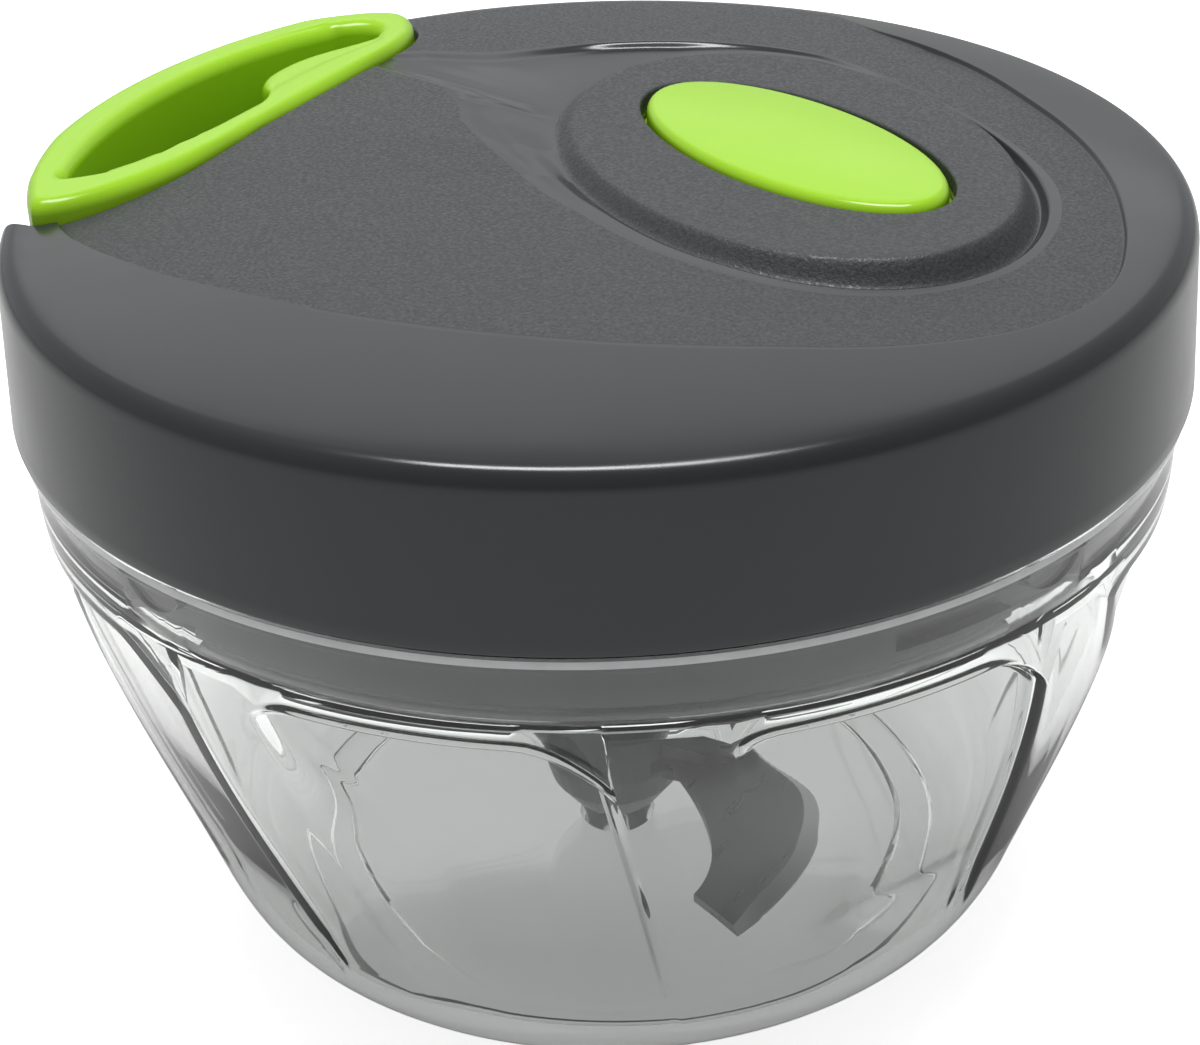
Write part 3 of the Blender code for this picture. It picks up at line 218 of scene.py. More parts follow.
class ChopperColours(bpy.types.PropertyGroup):
    """Base colours of the materials."""

    slate: rgb("Slate", "Moulded plastic of the lid", (0.027, 0.030, 0.033))
    grain: rgb("Grained slate", "Fine-grained panel and collar of the lid", (0.050, 0.054, 0.058))
    lime: rgb("Lime", "Handle and button", (0.37, 0.70, 0.017))
    clear: rgb("Clear plastic", "Bowl", (0.93, 0.945, 0.935))
    # painted highlight: the flange edge's pale colour stands in for the light line along the rim
    rim: rgb("Bowl's rim", "Outer edge of the bowl's flange", (0.86, 0.87, 0.88))
    seal: rgb("Seal", "Seal ring", (0.30, 0.31, 0.30))
    steel: rgb("Steel", "Blades, springs and screws", (0.165, 0.169, 0.173))
    natural: rgb("Natural plastic", "Spool and drive coupling", (0.72, 0.71, 0.66))
    cord: rgb("Cord", "Braided pull cord", (0.78, 0.78, 0.74))
    shaft: rgb("Shaft", "Blade shaft and plug", (0.021, 0.0225, 0.024))
    backdrop: rgb("Backdrop", "Floor and background", (0.86, 0.86, 0.86))


class StudioSettings(bpy.types.PropertyGroup):
    """Camera and lamps."""

    lens: number("Lens", "Focal length in millimetres", 81.0, 200.0, min=20.0, unit="CAMERA")
    top_power: number("Top light", "Power of the soft light overhead in watts", 4.6, 40.0, unit="POWER")
    back_power: number("Back light", "Power of the soft light behind in watts", 0.75, 40.0, unit="POWER")
    floor_glow: number("Floor glow", "Light added to the floor seen by the camera", 0.8, 2.0,
                       subtype="FACTOR")
    glow_through: number("Glow through", "Share of the floor's glow that is seen through clear plastic",
                         0.4, 1.0, subtype="FACTOR")
    viewer_side: number("Viewer's side", "Share of the surroundings' light that is left on the viewer's side",
                        0.28, 1.0, subtype="FACTOR")
    world_level: number("Surroundings", "Brightness of the surroundings", 0.56, 2.0, subtype="FACTOR")


def sizes():
    """The shape settings in use."""
    return bpy.context.scene.chopper_sizes


def colours():
    """The colours in use."""
    return bpy.context.scene.chopper_colours


def studio():
    """The camera and lamp settings in use."""
    return bpy.context.scene.chopper_studio


# Curves in plan


def bezier(start, pull_a, pull_b, end, count):
    """Cubic curve: the four corners weighted by the Bernstein terms of t, both ends included."""
    t = np.linspace(0.0, 1.0, count)[:, None]
    start, pull_a, pull_b, end = (np.asarray(p, dtype=float) for p in (start, pull_a, pull_b, end))
    return (1 - t) ** 3 * start + 3 * t * (1 - t) ** 2 * pull_a + 3 * t ** 2 * (1 - t) * pull_b + t ** 3 * end


def arc(radius, start, end, count):
    """Points at one radius about the axis, from one angle to another in degrees."""
    turn = np.radians(np.linspace(start, end, count))
    return np.stack([radius * np.cos(turn), radius * np.sin(turn)], axis=-1)


def closed_line(table, degrees):
    """Closed Hermite curve: radius at any angle, through (degrees, radius) pairs, slopes by differences."""
    table = np.asarray(table, dtype=float)
    knots = np.concatenate([table[-2:, 0] - 360.0, table[:, 0], table[:2, 0] + 360.0])
    radii = np.concatenate([table[-2:, 1], table[:, 1], table[:2, 1]])
    slopes = np.gradient(radii, knots)
    degrees = (np.asarray(degrees, dtype=float) - knots[2]) % 360.0 + knots[2]
    i = np.clip(np.searchsorted(knots, degrees, side="right") - 1, 0, len(knots) - 2)
    gap = knots[i + 1] - knots[i]
    t = (degrees - knots[i]) / gap
    return ((2 * t ** 3 - 3 * t ** 2 + 1) * radii[i] + (t ** 3 - 2 * t ** 2 + t) * gap * slopes[i]
            + (3 * t ** 2 - 2 * t ** 3) * radii[i + 1] + (t ** 3 - t ** 2) * gap * slopes[i + 1])


def oval_reach(oval, degrees, grow=0.0):
    """Distance from the pole to an oval along each angle: the positive root of the ray's quadratic."""
    x, y, long, short, turn = oval
    turn, angle = math.radians(turn), np.radians(degrees)
    px, py = POLE[0] - x, POLE[1] - y
    u0 = (px * math.cos(turn) + py * math.sin(turn)) / (long + grow)
    v0 = (-px * math.sin(turn) + py * math.cos(turn)) / (short + grow)
    du, dv = np.cos(angle - turn) / (long + grow), np.sin(angle - turn) / (short + grow)
    a, b = du ** 2 + dv ** 2, u0 * du + v0 * dv
    return (-b + np.sqrt(b ** 2 - a * (u0 ** 2 + v0 ** 2 - 1.0))) / a


def circle_reach(radius, degrees):
    """Distance from the pole to a circle about the lid's axis along each angle."""
    angle = np.radians(degrees)
    b = POLE[0] * np.cos(angle) + POLE[1] * np.sin(angle)
    return -b + np.sqrt(b ** 2 - (POLE @ POLE - radius ** 2))


def from_pole(reach, degrees):
    """Plan points at a reach from the pole."""
    angle = np.radians(degrees)
    return POLE[0] + reach * np.cos(angle), POLE[1] + reach * np.sin(angle)


def rounding(radius, count, first=0.0, last=90.0):
    """Steps of a quarter round, in degrees along it: how far in and how far down each is."""
    turns = np.radians(np.linspace(first, last, count))
    return [(radius * (1.0 - math.cos(t)), radius * (1.0 - math.sin(t))) for t in turns]


def steps(*parts):
    """Evenly stepped values, part by part: (first, last, count)."""
    return np.concatenate([np.linspace(*part) for part in parts])


def away_from(middle, degrees, period=360.0):
    """Least turn between each angle and a middle one, or the nearest of its repeats."""
    return np.abs((degrees - middle + 0.5 * period) % period - 0.5 * period)


def smooth(t):
    """The S curve 3t^2 - 2t^3, held at 0 and 1 outside."""
    t = np.clip(t, 0.0, 1.0)
    return t * t * (3.0 - 2.0 * t)


def resampled(outline, count):
    """A closed plan outline as evenly spaced points, by length along it."""
    closed = np.vstack([outline, outline[:1]])
    run = np.concatenate([[0.0], np.cumsum(np.linalg.norm(np.diff(closed, axis=0), axis=1))])
    at = np.linspace(0.0, run[-1], count, endpoint=False)
    return np.stack([np.interp(at, run, closed[:, 0]), np.interp(at, run, closed[:, 1])], axis=-1)


def spread(outline, grow):
    """Every point of a closed outline moved along its outward normal by a clearance."""
    along = np.roll(outline, -1, axis=0) - np.roll(outline, 1, axis=0)
    out = np.stack([along[:, 1], -along[:, 0]], axis=-1) / np.linalg.norm(along, axis=1)[:, None]
    area = np.sum(outline[:, 0] * np.roll(outline[:, 1], -1) - outline[:, 1] * np.roll(outline[:, 0], -1))
    return outline + out * (np.asarray(grow) * np.sign(area))[..., None]


# Meshes


def grid_faces(rows, cols, close_rows, close_cols, start=0):
    """Quads between neighbouring rows and columns of a grid of points."""
    i = np.arange(rows if close_rows else rows - 1)[:, None]
    j = np.arange(cols if close_cols else cols - 1)[None, :]
    ni, nj = (i + 1) % rows, (j + 1) % cols
    quads = np.stack([i * cols + j, i * cols + nj, ni * cols + nj, ni * cols + j], axis=-1)
    return quads.reshape(-1, 4) + start


def loft_mesh(grids, sharp=SHARP_ANGLE):
    """One mesh of closed bodies, each (points, close_rows); an open one is capped at both its end rows."""
    points, faces, start = [], [], 0
    for grid, close_rows in grids:
        rows, cols = grid.shape[:2]
        points.append(grid.reshape(-1, 3))
        faces += grid_faces(rows, cols, close_rows, True, start).tolist()
        if not close_rows:
            faces.append(list(range(start + cols - 1, start - 1, -1)))
            faces.append(list(range(start + (rows - 1) * cols, start + rows * cols)))
        start += rows * cols
    mesh = bpy.data.meshes.new("piece")
    mesh.from_pydata((np.concatenate(points) * MM).tolist(), [], faces)
    mesh.update()
    if mesh_volume(mesh) < 0.0:
        mesh.flip_normals()
    mesh.shade_smooth()
    mesh.set_sharp_from_angle(angle=math.radians(sharp))
    return mesh


def mesh_volume(mesh):
    """Signed volume: a sixth of the sum of corner products over the triangles."""
    mesh.calc_loop_triangles()
    corners = np.zeros(len(mesh.vertices) * 3)
    mesh.vertices.foreach_get("co", corners)
    tris = np.zeros(len(mesh.loop_triangles) * 3, dtype=np.int64)
    mesh.loop_triangles.foreach_get("vertices", tris)
    a, b, c = np.moveaxis(corners.reshape(-1, 3)[tris.reshape(-1, 3)], 1, 0)
    return float(np.sum(a * np.cross(b, c))) / 6.0


def level_rows(radii, heights, turn):
    """Rows of a surface of revolution: radius and height of each row at every angle."""
    radii, heights = (np.asarray(v, dtype=float) for v in (radii, heights))
    radii = np.broadcast_to(radii.reshape(len(radii), -1), (len(radii), len(turn)))
    heights = np.broadcast_to(heights.reshape(len(heights), -1), radii.shape)
    return np.stack([radii * np.cos(turn), radii * np.sin(turn), heights], axis=-1)


def coil_line(radius, turn, height):
    """Points about the axis at a radius, each with its own turn and height."""
    return np.stack([radius * np.cos(turn), radius * np.sin(turn), height], axis=-1)


def full_turn(count):
    """Evenly spaced angles once round."""
    return np.linspace(0.0, 2.0 * math.pi, count, endpoint=False)


def solid(mesh, bodies, operation):
    """The exact boolean of a closed mesh with some closed bodies."""
    first, second = (bpy.data.objects.new("work", m) for m in (mesh, loft_mesh(bodies)))
    for item in (first, second):
        bpy.context.collection.objects.link(item)
    step = first.modifiers.new("step", "BOOLEAN")
    step.operation = operation
    step.solver = "EXACT"
    step.object = second
    bpy.context.view_layer.update()
    graph = bpy.context.evaluated_depsgraph_get()
    result = bpy.data.meshes.new_from_object(first.evaluated_get(graph), depsgraph=graph)
    for item in (first, second):
        bpy.data.objects.remove(item, do_unlink=True)
    result.shade_smooth()
    result.set_sharp_from_angle(angle=math.radians(SHARP_ANGLE))
    return result


def coat(mesh, finishes):
    """Give a mesh its materials by name, those that it hasn't yet."""
    for name in finishes[len(mesh.materials):]:
        mesh.materials.append(finish(name))


def add_piece(name, mesh, finishes, body, node=None, also=()):
    """Link a mesh at the origin as a named piece that rides on a body and stands for one CAD node or more."""
    mesh.name = name
    coat(mesh, finishes)
    piece = bpy.data.objects.new(name, mesh)
    bpy.context.scene.collection.objects.link(piece)
    if body:
        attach(piece, body)
    if node:
        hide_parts(node, *also)
    return piece


def mark_faces(mesh, start, count):
    """Give a run of a mesh's faces its second material."""
    marks = np.zeros(len(mesh.polygons), dtype=np.int32)
    marks[start:start + count] = 1
    mesh.polygons.foreach_set("material_index", marks)


def dress(node, name):
    """Give a carried-over CAD node its material."""
    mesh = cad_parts[node].data
    mesh.materials.clear()
    coat(mesh, [name])


# Materials


def add_node(tree, kind, sources=(), **values):
    """A new node: options and sockets set by name, an underscore for a space, then its inputs linked."""
    made = tree.nodes.new(kind)
    for key, value in values.items():
        socket = key.replace("_", " ")
        if socket in made.inputs:
            made.inputs[socket].default_value = value
        else:
            setattr(made, key, value)
    for socket, source in sources:
        tree.links.new(source, made.inputs[socket])
    return made


class Shade:
    """A Principled material with its nodes added by short calls."""

    def __init__(self, name, base, roughness, **sockets):
        self.material = bpy.data.materials.new(name)
        self.material.use_nodes = True
        self.tree = self.material.node_tree
        self.shader = self.tree.nodes["Principled BSDF"]
        self.shader.inputs["Base Color"].default_value = (*base, 1.0)
        self.shader.inputs["Roughness"].default_value = roughness
        for socket, value in sockets.items():
            self.shader.inputs[socket.replace("_", " ")].default_value = value
        self.material.diffuse_color = (*base, 1.0)
        self.coords = self.node("ShaderNodeTexCoord")

    def node(self, kind, sources=(), **values):
        return add_node(self.tree, kind, sources, **values)

    def feed(self, source, socket):
        """Link a value to one of the shader's inputs."""
        self.tree.links.new(source, self.shader.inputs[socket])

    def noise(self, scale, detail=3.0, rough=0.55, stretch=None):
        """Noise on Object coordinates; scale is features per metre."""
        source = self.coords.outputs["Object"]
        if stretch:
            source = self.node("ShaderNodeMapping", [("Vector", source)], Scale=stretch).outputs["Vector"]
        made = self.node("ShaderNodeTexNoise", [("Vector", source)], Scale=scale, Detail=detail,
                         Roughness=rough)
        return made.outputs["Fac"]

    def ramp(self, source, low, high, to_low, to_high):
        """Map a value's range onto another."""
        return self.node("ShaderNodeMapRange", [("Value", source)], From_Min=low, From_Max=high,
                         To_Min=to_low, To_Max=to_high).outputs["Result"]

    def tint(self, source, low, high):
        """Mix the base colour between two shades of itself by a value from 0 to 1."""
        base = np.array(self.shader.inputs["Base Color"].default_value[:3])
        ends = {key: (*np.clip(base * part, 0, 1), 1.0) for key, part in (("A", low), ("B", high))}
        made = self.node("ShaderNodeMix", [("Factor", source)], data_type="RGBA", **ends)
        self.feed(made.outputs["Result"], "Base Color")

    def rough(self, source, low, high, to_low, to_high):
        """Let a value's range set the roughness."""
        self.feed(self.ramp(source, low, high, to_low, to_high), "Roughness")

    def bump(self, source, distance, strength=1.0):
        """Bump whose height runs from 0 to a distance in metres."""
        made = self.node("ShaderNodeBump", [("Height", source)], Distance=distance, Strength=strength)
        self.feed(made.outputs["Normal"], "Normal")


def slate_gloss():
    """Polished mould finish with a faint sink-and-flow ripple and handling haze in the gloss."""
    shade = Shade("slate_gloss", colours().slate, 0.2, Specular_IOR_Level=0.5)
    shade.rough(shade.noise(55.0, 4.0), 0.35, 0.7, 0.17, 0.25)
    shade.tint(shade.noise(9.0), 0.95, 1.05)
    shade.bump(shade.noise(120.0, 1.0), 0.00003, 0.25)
    return shade.material


def slate_grain():
    """Spark-eroded grain: pits about half a millimetre apart, matt, with a few glinting flats."""
    shade = Shade("slate_grain", colours().grain, 0.5, Specular_IOR_Level=0.5)
    fine = shade.noise(2500.0, 2.0, 0.7)
    shade.rough(shade.noise(2600.0, 1.0), 0.35, 0.62, 0.36, 0.6)
    shade.tint(shade.ramp(fine, 0.33, 0.67, 0.0, 1.0), 0.74, 1.27)
    shade.bump(fine, 0.00013, 0.7)
    return shade.material


def lime_gloss():
    """Opaque glossy lime with slight orange peel and a little light carried under the surface."""
    shade = Shade("lime_gloss", colours().lime, 0.24, Specular_IOR_Level=0.5, Subsurface_Weight=0.08,
                  Subsurface_Scale=0.002, Subsurface_Radius=(1.0, 1.0, 0.3))
    shade.rough(shade.noise(70.0), 0.35, 0.7, 0.21, 0.29)
    shade.tint(shade.noise(24.0), 0.96, 1.04)
    shade.bump(shade.noise(260.0, 1.0), 0.00002, 0.3)
    return shade.material


def see_through(name, colour, roughness, ior, weight=1.0):
    """Clear moulded plastic; lamps reach what is behind it."""
    shade = Shade(name, colour, roughness, Transmission_Weight=weight, IOR=ior)
    shade.bump(shade.noise(90.0, 1.0), 0.00002, 0.18)
    path = shade.node("ShaderNodeLightPath")
    clear = shade.node("ShaderNodeBsdfTransparent", Color=(0.93, 0.94, 0.935, 1.0))
    mix = shade.node("ShaderNodeMixShader", [("Fac", path.outputs["Is Shadow Ray"]),
                                             (1, shade.shader.outputs["BSDF"]), (2, clear.outputs["BSDF"])])
    shade.tree.links.new(mix.outputs["Shader"], shade.tree.nodes["Material Output"].inputs["Surface"])
    return shade.material


def rim_painted_highlight():
    """The flange's outer edge: a pale, mostly diffuse band that stands in for the bright line along the rim,
    a painted highlight; the noise varies its brightness.
    """
    shade = Shade("clear_rim_painted_highlight", colours().rim, 0.22, Transmission_Weight=0.12, IOR=BOWL_IOR)
    shade.tint(shade.noise(300.0, 2.0), 0.8, 1.1)
    shade.bump(shade.noise(500.0, 2.0), 0.00004, 0.4)
    return shade.material


def brushed_steel(name="brushed_steel", roughness=0.3, light=1.0):
    """Ground stainless sheet with fine streaks; light scales the colour, and the ground bevel's lighter copy
    is a painted highlight.
    """
    shade = Shade(name, np.array(colours().steel) * light, roughness, Metallic=1.0)
    streak = shade.noise(700.0, 3.0, 0.6, (1.0, 0.06, 1.0))
    shade.rough(streak, 0.3, 0.7, roughness - 0.06, roughness + 0.1)
    shade.tint(streak, 0.92, 1.06)
    shade.bump(streak, 0.00001, 0.3)
    return shade.material


def moulded(name, colour, roughness):
    """Plain moulded plastic with a light flow variation."""
    shade = Shade(name, colour, roughness)
    shade.rough(shade.noise(160.0), 0.35, 0.7, roughness - 0.05, roughness + 0.07)
    shade.tint(shade.noise(30.0), 0.93, 1.05)
    shade.bump(shade.noise(900.0, 2.0), 0.00002, 0.4)
    return shade.material


def braided_cord():
    """Braid: two families of strands crossing on the cord's own UV map, u round it and v along it."""
    shade = Shade("braided_cord", colours().cord, 0.8, Sheen_Weight=0.3)
    waves = []
    for slant in (1.0, -1.0):
        mapping = shade.node("ShaderNodeMapping", [("Vector", shade.coords.outputs["UV"])],
                             Rotation=(0.0, 0.0, slant * math.radians(38.0)))
        wave = shade.node("ShaderNodeTexWave", [("Vector", mapping.outputs["Vector"])], Scale=1.6,
                          Distortion=0.4)
        waves.append(wave.outputs["Fac"])
    both = shade.node("ShaderNodeMath", enumerate(waves), operation="MAXIMUM").outputs["Value"]
    # the tint follows the bump, so the braid is painted darker between its strands: painted shade
    shade.tint(both, 0.7, 1.08)
    shade.bump(both, 0.0001, 0.8)
    return shade.material


def finish(name):
    """One shared material by its name, made on first use."""
    makers = {
        "slate_gloss": slate_gloss,
        "slate_grain": slate_grain,
        "lime_gloss": lime_gloss,
        "clear_bowl": lambda: see_through(name, colours().clear, 0.015, BOWL_IOR),
        # the flange's outer edge: a painted highlight
        "clear_rim_painted_highlight": rim_painted_highlight,
        "clear_seal": lambda: see_through(name, colours().seal, 0.25, 1.42, 0.7),
        "brushed_steel": brushed_steel,
        # the blades' ground bevel is real; its colour, painted 2.6 times lighter, is a painted highlight
        "ground_edge_painted_highlight": lambda: brushed_steel(name, 0.34, 2.6),
        "spring_steel": lambda: brushed_steel(name, 0.38),
        "natural_plastic": lambda: moulded(name, colours().natural, 0.42),
        "dark_plastic": lambda: moulded(name, colours().shaft, 0.36),
        "braided_cord": braided_cord,
    }
    return bpy.data.materials.get(name) or makers[name]()


# Lid cover


def ring_height(radius):
    """Height of the glossy ring above the skirt's edge: a crown by the 0.6 power of 1 - (r / crease)^2."""
    share = np.clip((radius / CREASE_R) ** 2, 0.0, 1.0)
    return CREASE_H + CROWN_H * (1.0 - share) ** 0.6


def cover_columns():
    """Angles about the pole, closer together by the handle's tips and at the valley's mouth."""
    spans = ((-140.0, 152.0, 0.9), (152.0, 164.0, 0.5), (164.0, 177.0, 0.25), (177.0, 206.0, 0.9),
             (206.0, 219.9, 0.4))
    return np.concatenate([np.arange(*part) for part in spans])


def cover_lines(degrees):
    """Reaches from the pole of the cover's guiding lines."""
    collar = oval_reach(COLLAR_OVAL, degrees)
    foot = oval_reach(COLLAR_OVAL, degrees, COLLAR_SIDE)
    lip = np.minimum(closed_line(PANEL_LINE, degrees), circle_reach(CREASE_R - 2.4, degrees))
    valley = np.clip(closed_line(VALLEY_LINE, degrees), foot + 1.0, lip - 1.6)
    return {"hole": oval_reach(BUTTON_OVAL, degrees, BUTTON_GAP), "collar": collar, "foot": foot,
            "valley": valley, "lip": lip}


def lip_share(degrees):
    """Share of the lip's step at each angle: the ring runs out at the back, by the panel."""
    return np.clip((away_from(152.0, degrees) - 40.0) / 16.0, 0.0, 1.0)


def cover_top(degrees):
    """The cover's outer face, row by row from the button's hole to the skirt's edge.

    Reach and height of each row: hole wall, quarter-round rim, flat collar, S-shaped side, gentle valley
    that ends in a rounded edge, panel, S-shaped lip step, crowned ring, cubic roll and straight skirt.
    Grained rows are marked for the second material.
    """
    line = cover_lines(degrees)
    rows, grained = [], []

    def add(reach, height, grain):
        x, y = from_pole(reach, degrees)
        rows.append(np.stack([x, y, LID_Z + np.broadcast_to(height, x.shape)], axis=-1))
        grained.append(grain)

    def ring(reach):
        x, y = from_pole(reach, degrees)
        return ring_height(np.hypot(x, y))

    hole, collar, foot, valley, lip = (line[k] for k in ("hole", "collar", "foot", "valley", "lip"))
    step = LIP_STEP * lip_share(degrees)
    back = smooth((35.0 - away_from(128.0, degrees)) / 20.0)
    edge = (0.34 + 0.38 * back) * np.clip((valley - foot - 2.5) / 4.0, 0.0, 1.0)
    add(hole, COLLAR_H - 1.8, True)
    for inset, drop in rounding(HOLE_ROUND, 6):
        add(hole + inset, COLLAR_H - drop, True)
    near, far = hole + HOLE_ROUND, collar - COLLAR_EDGE
    for share in np.linspace(0.1, 1.0, 8):
        add(near + share * (far - near), COLLAR_H, True)
    floor = ring(foot) - step - VALLEY_DEEP
    for share in np.linspace(0.06, 1.0, 12):
        add(far + (foot - far) * share, floor + (COLLAR_H - floor) * (1.0 - smooth(share)), True)
    slant = np.sqrt(1.0 + (np.gradient(valley, np.radians(degrees)) / valley) ** 2)
    brink = valley - np.minimum((2.6 - 1.7 * back) * slant, 0.45 * (valley - foot))
    for share in np.linspace(0.02, 1.0, 13):
        reach = foot + share * (brink - foot)
        drop = edge + (VALLEY_DEEP - edge) * (1.0 - smooth(share))
        add(reach, ring(reach) - step - drop, False)
    for share in np.linspace(0.14, 1.0, 7):
        reach = brink + share * (valley - brink)
        add(reach, ring(reach) - step - edge * (1.0 - smooth(share)), False)
    for share in np.linspace(0.02, 1.0, 24):
        reach = valley + share * (lip - LIP_WIDE - valley)
        add(reach, ring(reach) - step, True)
    for share in np.linspace(0.2, 1.0, 5):
        reach = lip - LIP_WIDE * (1.0 - share)
        add(reach, ring(reach) - step * (1.0 - smooth(share)), False)
    roll = sizes().crease_round / MM
    start = circle_reach(CREASE_R - roll, degrees)
    for share in np.linspace(0.04, 1.0, 18):
        reach = lip + share * (start - lip)
        add(reach, ring(reach), False)
    low = CREASE_H - 2.0
    radius = CREASE_R - roll
    slope = (ring_height(radius + 0.05) - ring_height(radius - 0.05)) / 0.1
    lean = (LID_R - CREASE_R) / CREASE_H
    skirt = CREASE_R + (CREASE_H - low) * lean
    brow = ring_height(radius)
    curve = bezier((radius, brow), (radius + 0.62 * roll, brow + 0.62 * roll * slope),
                   (skirt - 1.6 * lean, low + 1.6), (skirt, low), 15)
    for r, z in curve[1:]:
        add(circle_reach(r, degrees), z, False)
    hem = [(LID_R - z * lean, z) for z in (13.0, 9.0, 5.0, 1.6, 0.35)]
    for r, z in hem + [(LID_R - 0.12, 0.08), (LID_R - 0.4, 0.0)]:
        add(circle_reach(r, degrees), z, False)
    return np.array(rows), grained, line


def cover_shell():
    """Outer face and the plainer inner face as one closed surface; the inner face keeps a least wall."""
    degrees = cover_columns()
    outer, grained, line = cover_top(degrees)
    inner_r = LID_R - COVER_T
    shoulder = LID_Z + CREASE_H - 1.9

    def under(reach, height, crown=False):
        x, y = from_pole(reach, degrees)
        level = np.full(x.shape, height)
        if crown:
            roof = LID_Z + ring_height(np.hypot(x, y)) - LIP_STEP - VALLEY_DEEP - CROWN_WALL
            level = np.minimum(level, roof)
        return np.stack([x, y, level], axis=-1)

    inner = [under(circle_reach(inner_r, degrees), LID_Z),
             under(circle_reach(inner_r - 0.6, degrees), shoulder - 1.2),
             under(circle_reach(inner_r - 3.0, degrees), shoulder),
             under(np.maximum(line["foot"] + 2.0, circle_reach(30.0, degrees)), CEILING_Z - 0.1, True),
             under(line["foot"], CEILING_Z, True),
             under(0.5 * (line["foot"] + line["hole"]), COLLAR_CEILING), under(line["hole"], COLLAR_CEILING)]
    mesh = loft_mesh([(np.concatenate([outer, np.array(inner)]), True)])
    marks = np.zeros((len(outer) + len(inner), len(degrees)), dtype=np.int32)
    for row in range(len(outer) - 1):
        marks[row] = int(grained[row] and grained[row + 1])
    coat(mesh, LID_FINISHES)
    mesh.polygons.foreach_set("material_index", marks.ravel())
    return mesh


def handle_outline():
    """Plan outline of the handle: end of the near curve, outer arc, far tip, inner edge, near tip."""
    rim = arc(HANDLE_R, 180.0 + NEAR_TURN, 180.0 - FAR_TURN, 51)
    near, far = rim[0], rim[-1]
    near_tip = np.array((HANDLE_X - 7.4, near[1] - 15.9))
    far_tip = np.array((HANDLE_X - 6.3, far[1] + 8.7))
    near_curve = bezier(near_tip, near_tip + (-3.6, 2.15), near + (2.15, -5.5), near, 33)
    far_curve = bezier(far, far + (1.2, 2.9), far_tip - (3.8, 0.3), far_tip, 15)[:-1]
    far_turn = bezier(far_tip, far_tip + (2.8, 0.3), (HANDLE_X, 28.0), (HANDLE_X, 21.0), 15)
    edge = np.array([(HANDLE_X, side) for side in np.linspace(18.5, -10.0, 37)])
    near_turn = bezier((HANDLE_X, -13.0), (HANDLE_X, -24.0), near_tip + (3.2, 0.1), near_tip, 13)[:-1]
    return [near_curve[20:-1], rim[:-1], far_curve, far_turn, edge, near_turn, near_curve[:20]]


def loop_outline():
    """Plan outline of the finger opening, point for point beside the handle's, with the cord's tongue."""
    rim = arc(LOOP_R, 207.0, 154.0, 63)[:-1]
    far = bezier(rim[-1] + (0.3, 0.9), (LOOP_X - 4.7, 27.2), (LOOP_X - 1.3, 28.0), (LOOP_X - 0.9, 25.2), 29)
    tongue = bezier((LOOP_X - 1.05, 24.6), (LOOP_X - 2.3, 20.5), (TONGUE_X, 17.0), (TONGUE_X, 11.0), 12)[:-1]
    step = bezier((TONGUE_X, 11.0), (TONGUE_X - 0.2, 4.0), (LOOP_X - 0.5, 6.0), (LOOP_X, 0.4), 16)[:-1]
    side = bezier((LOOP_X, 0.4), (LOOP_X, -9.0), (LOOP_X - 0.6, -17.0), (LOOP_X - 2.9, -22.4), 17)
    near = bezier((LOOP_X - 3.1, -22.9), (LOOP_X - 4.4, -25.9), (LOOP_X - 5.6, -27.2),
                  (LOOP_X - 6.1, -26.0), 26)
    return [rim, far, tongue, step, side, near]


def recess_tool(low):
    """The handle's recess as a cutter, open along the pull; its inner edge flares in a quarter round."""
    outline = spread(resampled(np.concatenate(handle_outline()), 320), HANDLE_GAP)
    outline = np.roll(outline, -int(np.argmin(outline[:, 1])), axis=0)
    last = int(np.argmax(outline[:, 1]))
    sides = np.linspace(outline[0, 1], outline[last, 1], last - 1)
    outline[1:last] = np.column_stack([np.full(last - 1, -LID_R - 6.0), sides])
    soft = np.zeros(len(outline))
    soft[last:] = sizes().recess_round / MM
    soft[0] = soft[-1]
    offset = outline - POLE
    degrees = np.degrees(np.arctan2(offset[:, 1], offset[:, 0]))
    inside = np.hypot(offset[:, 0], offset[:, 1]) < cover_lines(degrees)["lip"]
    drop = np.where(inside, LIP_STEP, 0.0) * lip_share(degrees)
    top = LID_Z + ring_height(np.minimum(np.hypot(outline[:, 0], outline[:, 1]), CREASE_R)) - drop
    out = spread(outline, 1.0) - outline
    out[[0, last]] = (0.0, -1.0), (0.0, 1.0)
    rows = [np.column_stack([outline, np.full(len(outline), low)])]
    for t in np.radians(np.linspace(0.0, 90.0, 6)):
        rows.append(np.column_stack([outline + out * (soft * (1.0 - np.cos(t)))[:, None],
                                     top - np.maximum(soft, 0.01) * (1.0 - np.sin(t))]))
    rows.append(np.column_stack([outline + out * (soft * 1.02)[:, None],
                                 np.full(len(outline), LID_Z + 40.0)]))
    return np.array(rows), False


def recess_block(low):
    """A block round the recess that is left as its walls and floor."""
    outline = spread(resampled(np.concatenate(handle_outline()), 200), HANDLE_GAP + 2.0)
    far = np.hypot(outline[:, 0], outline[:, 1])
    outline = outline * np.minimum(1.0, (LID_R - COVER_T * 0.5) / far)[:, None]
    return upright(outline, low, LID_Z + CREASE_H - 0.2)


def upright(outline, low, high):
    """Body of a plan outline drawn upwards."""
    return np.array([np.column_stack([outline, np.full(len(outline), z)]) for z in (low, high)]), False


def rod(radius, centre, low, high, count=24):
    """Body of an upright rod."""
    return level_rows((radius, radius), (low, high), full_turn(count)) + (*centre, 0.0), False


def cord_rod(radius, x_from, x_to):
    """Body of a rod on the cord's line, along X."""
    return rod(radius, (CORD_Y, CORD_Z), x_from, x_to, 32)[0][..., [2, 0, 1]], False


def screw_rods(radius, low, high):
    """Upright rods at the three screws."""
    return [rod(radius, (SCREW_R * math.cos(turn), SCREW_R * math.sin(turn)), low, high)
            for turn in map(math.radians, SCREW_AT)]


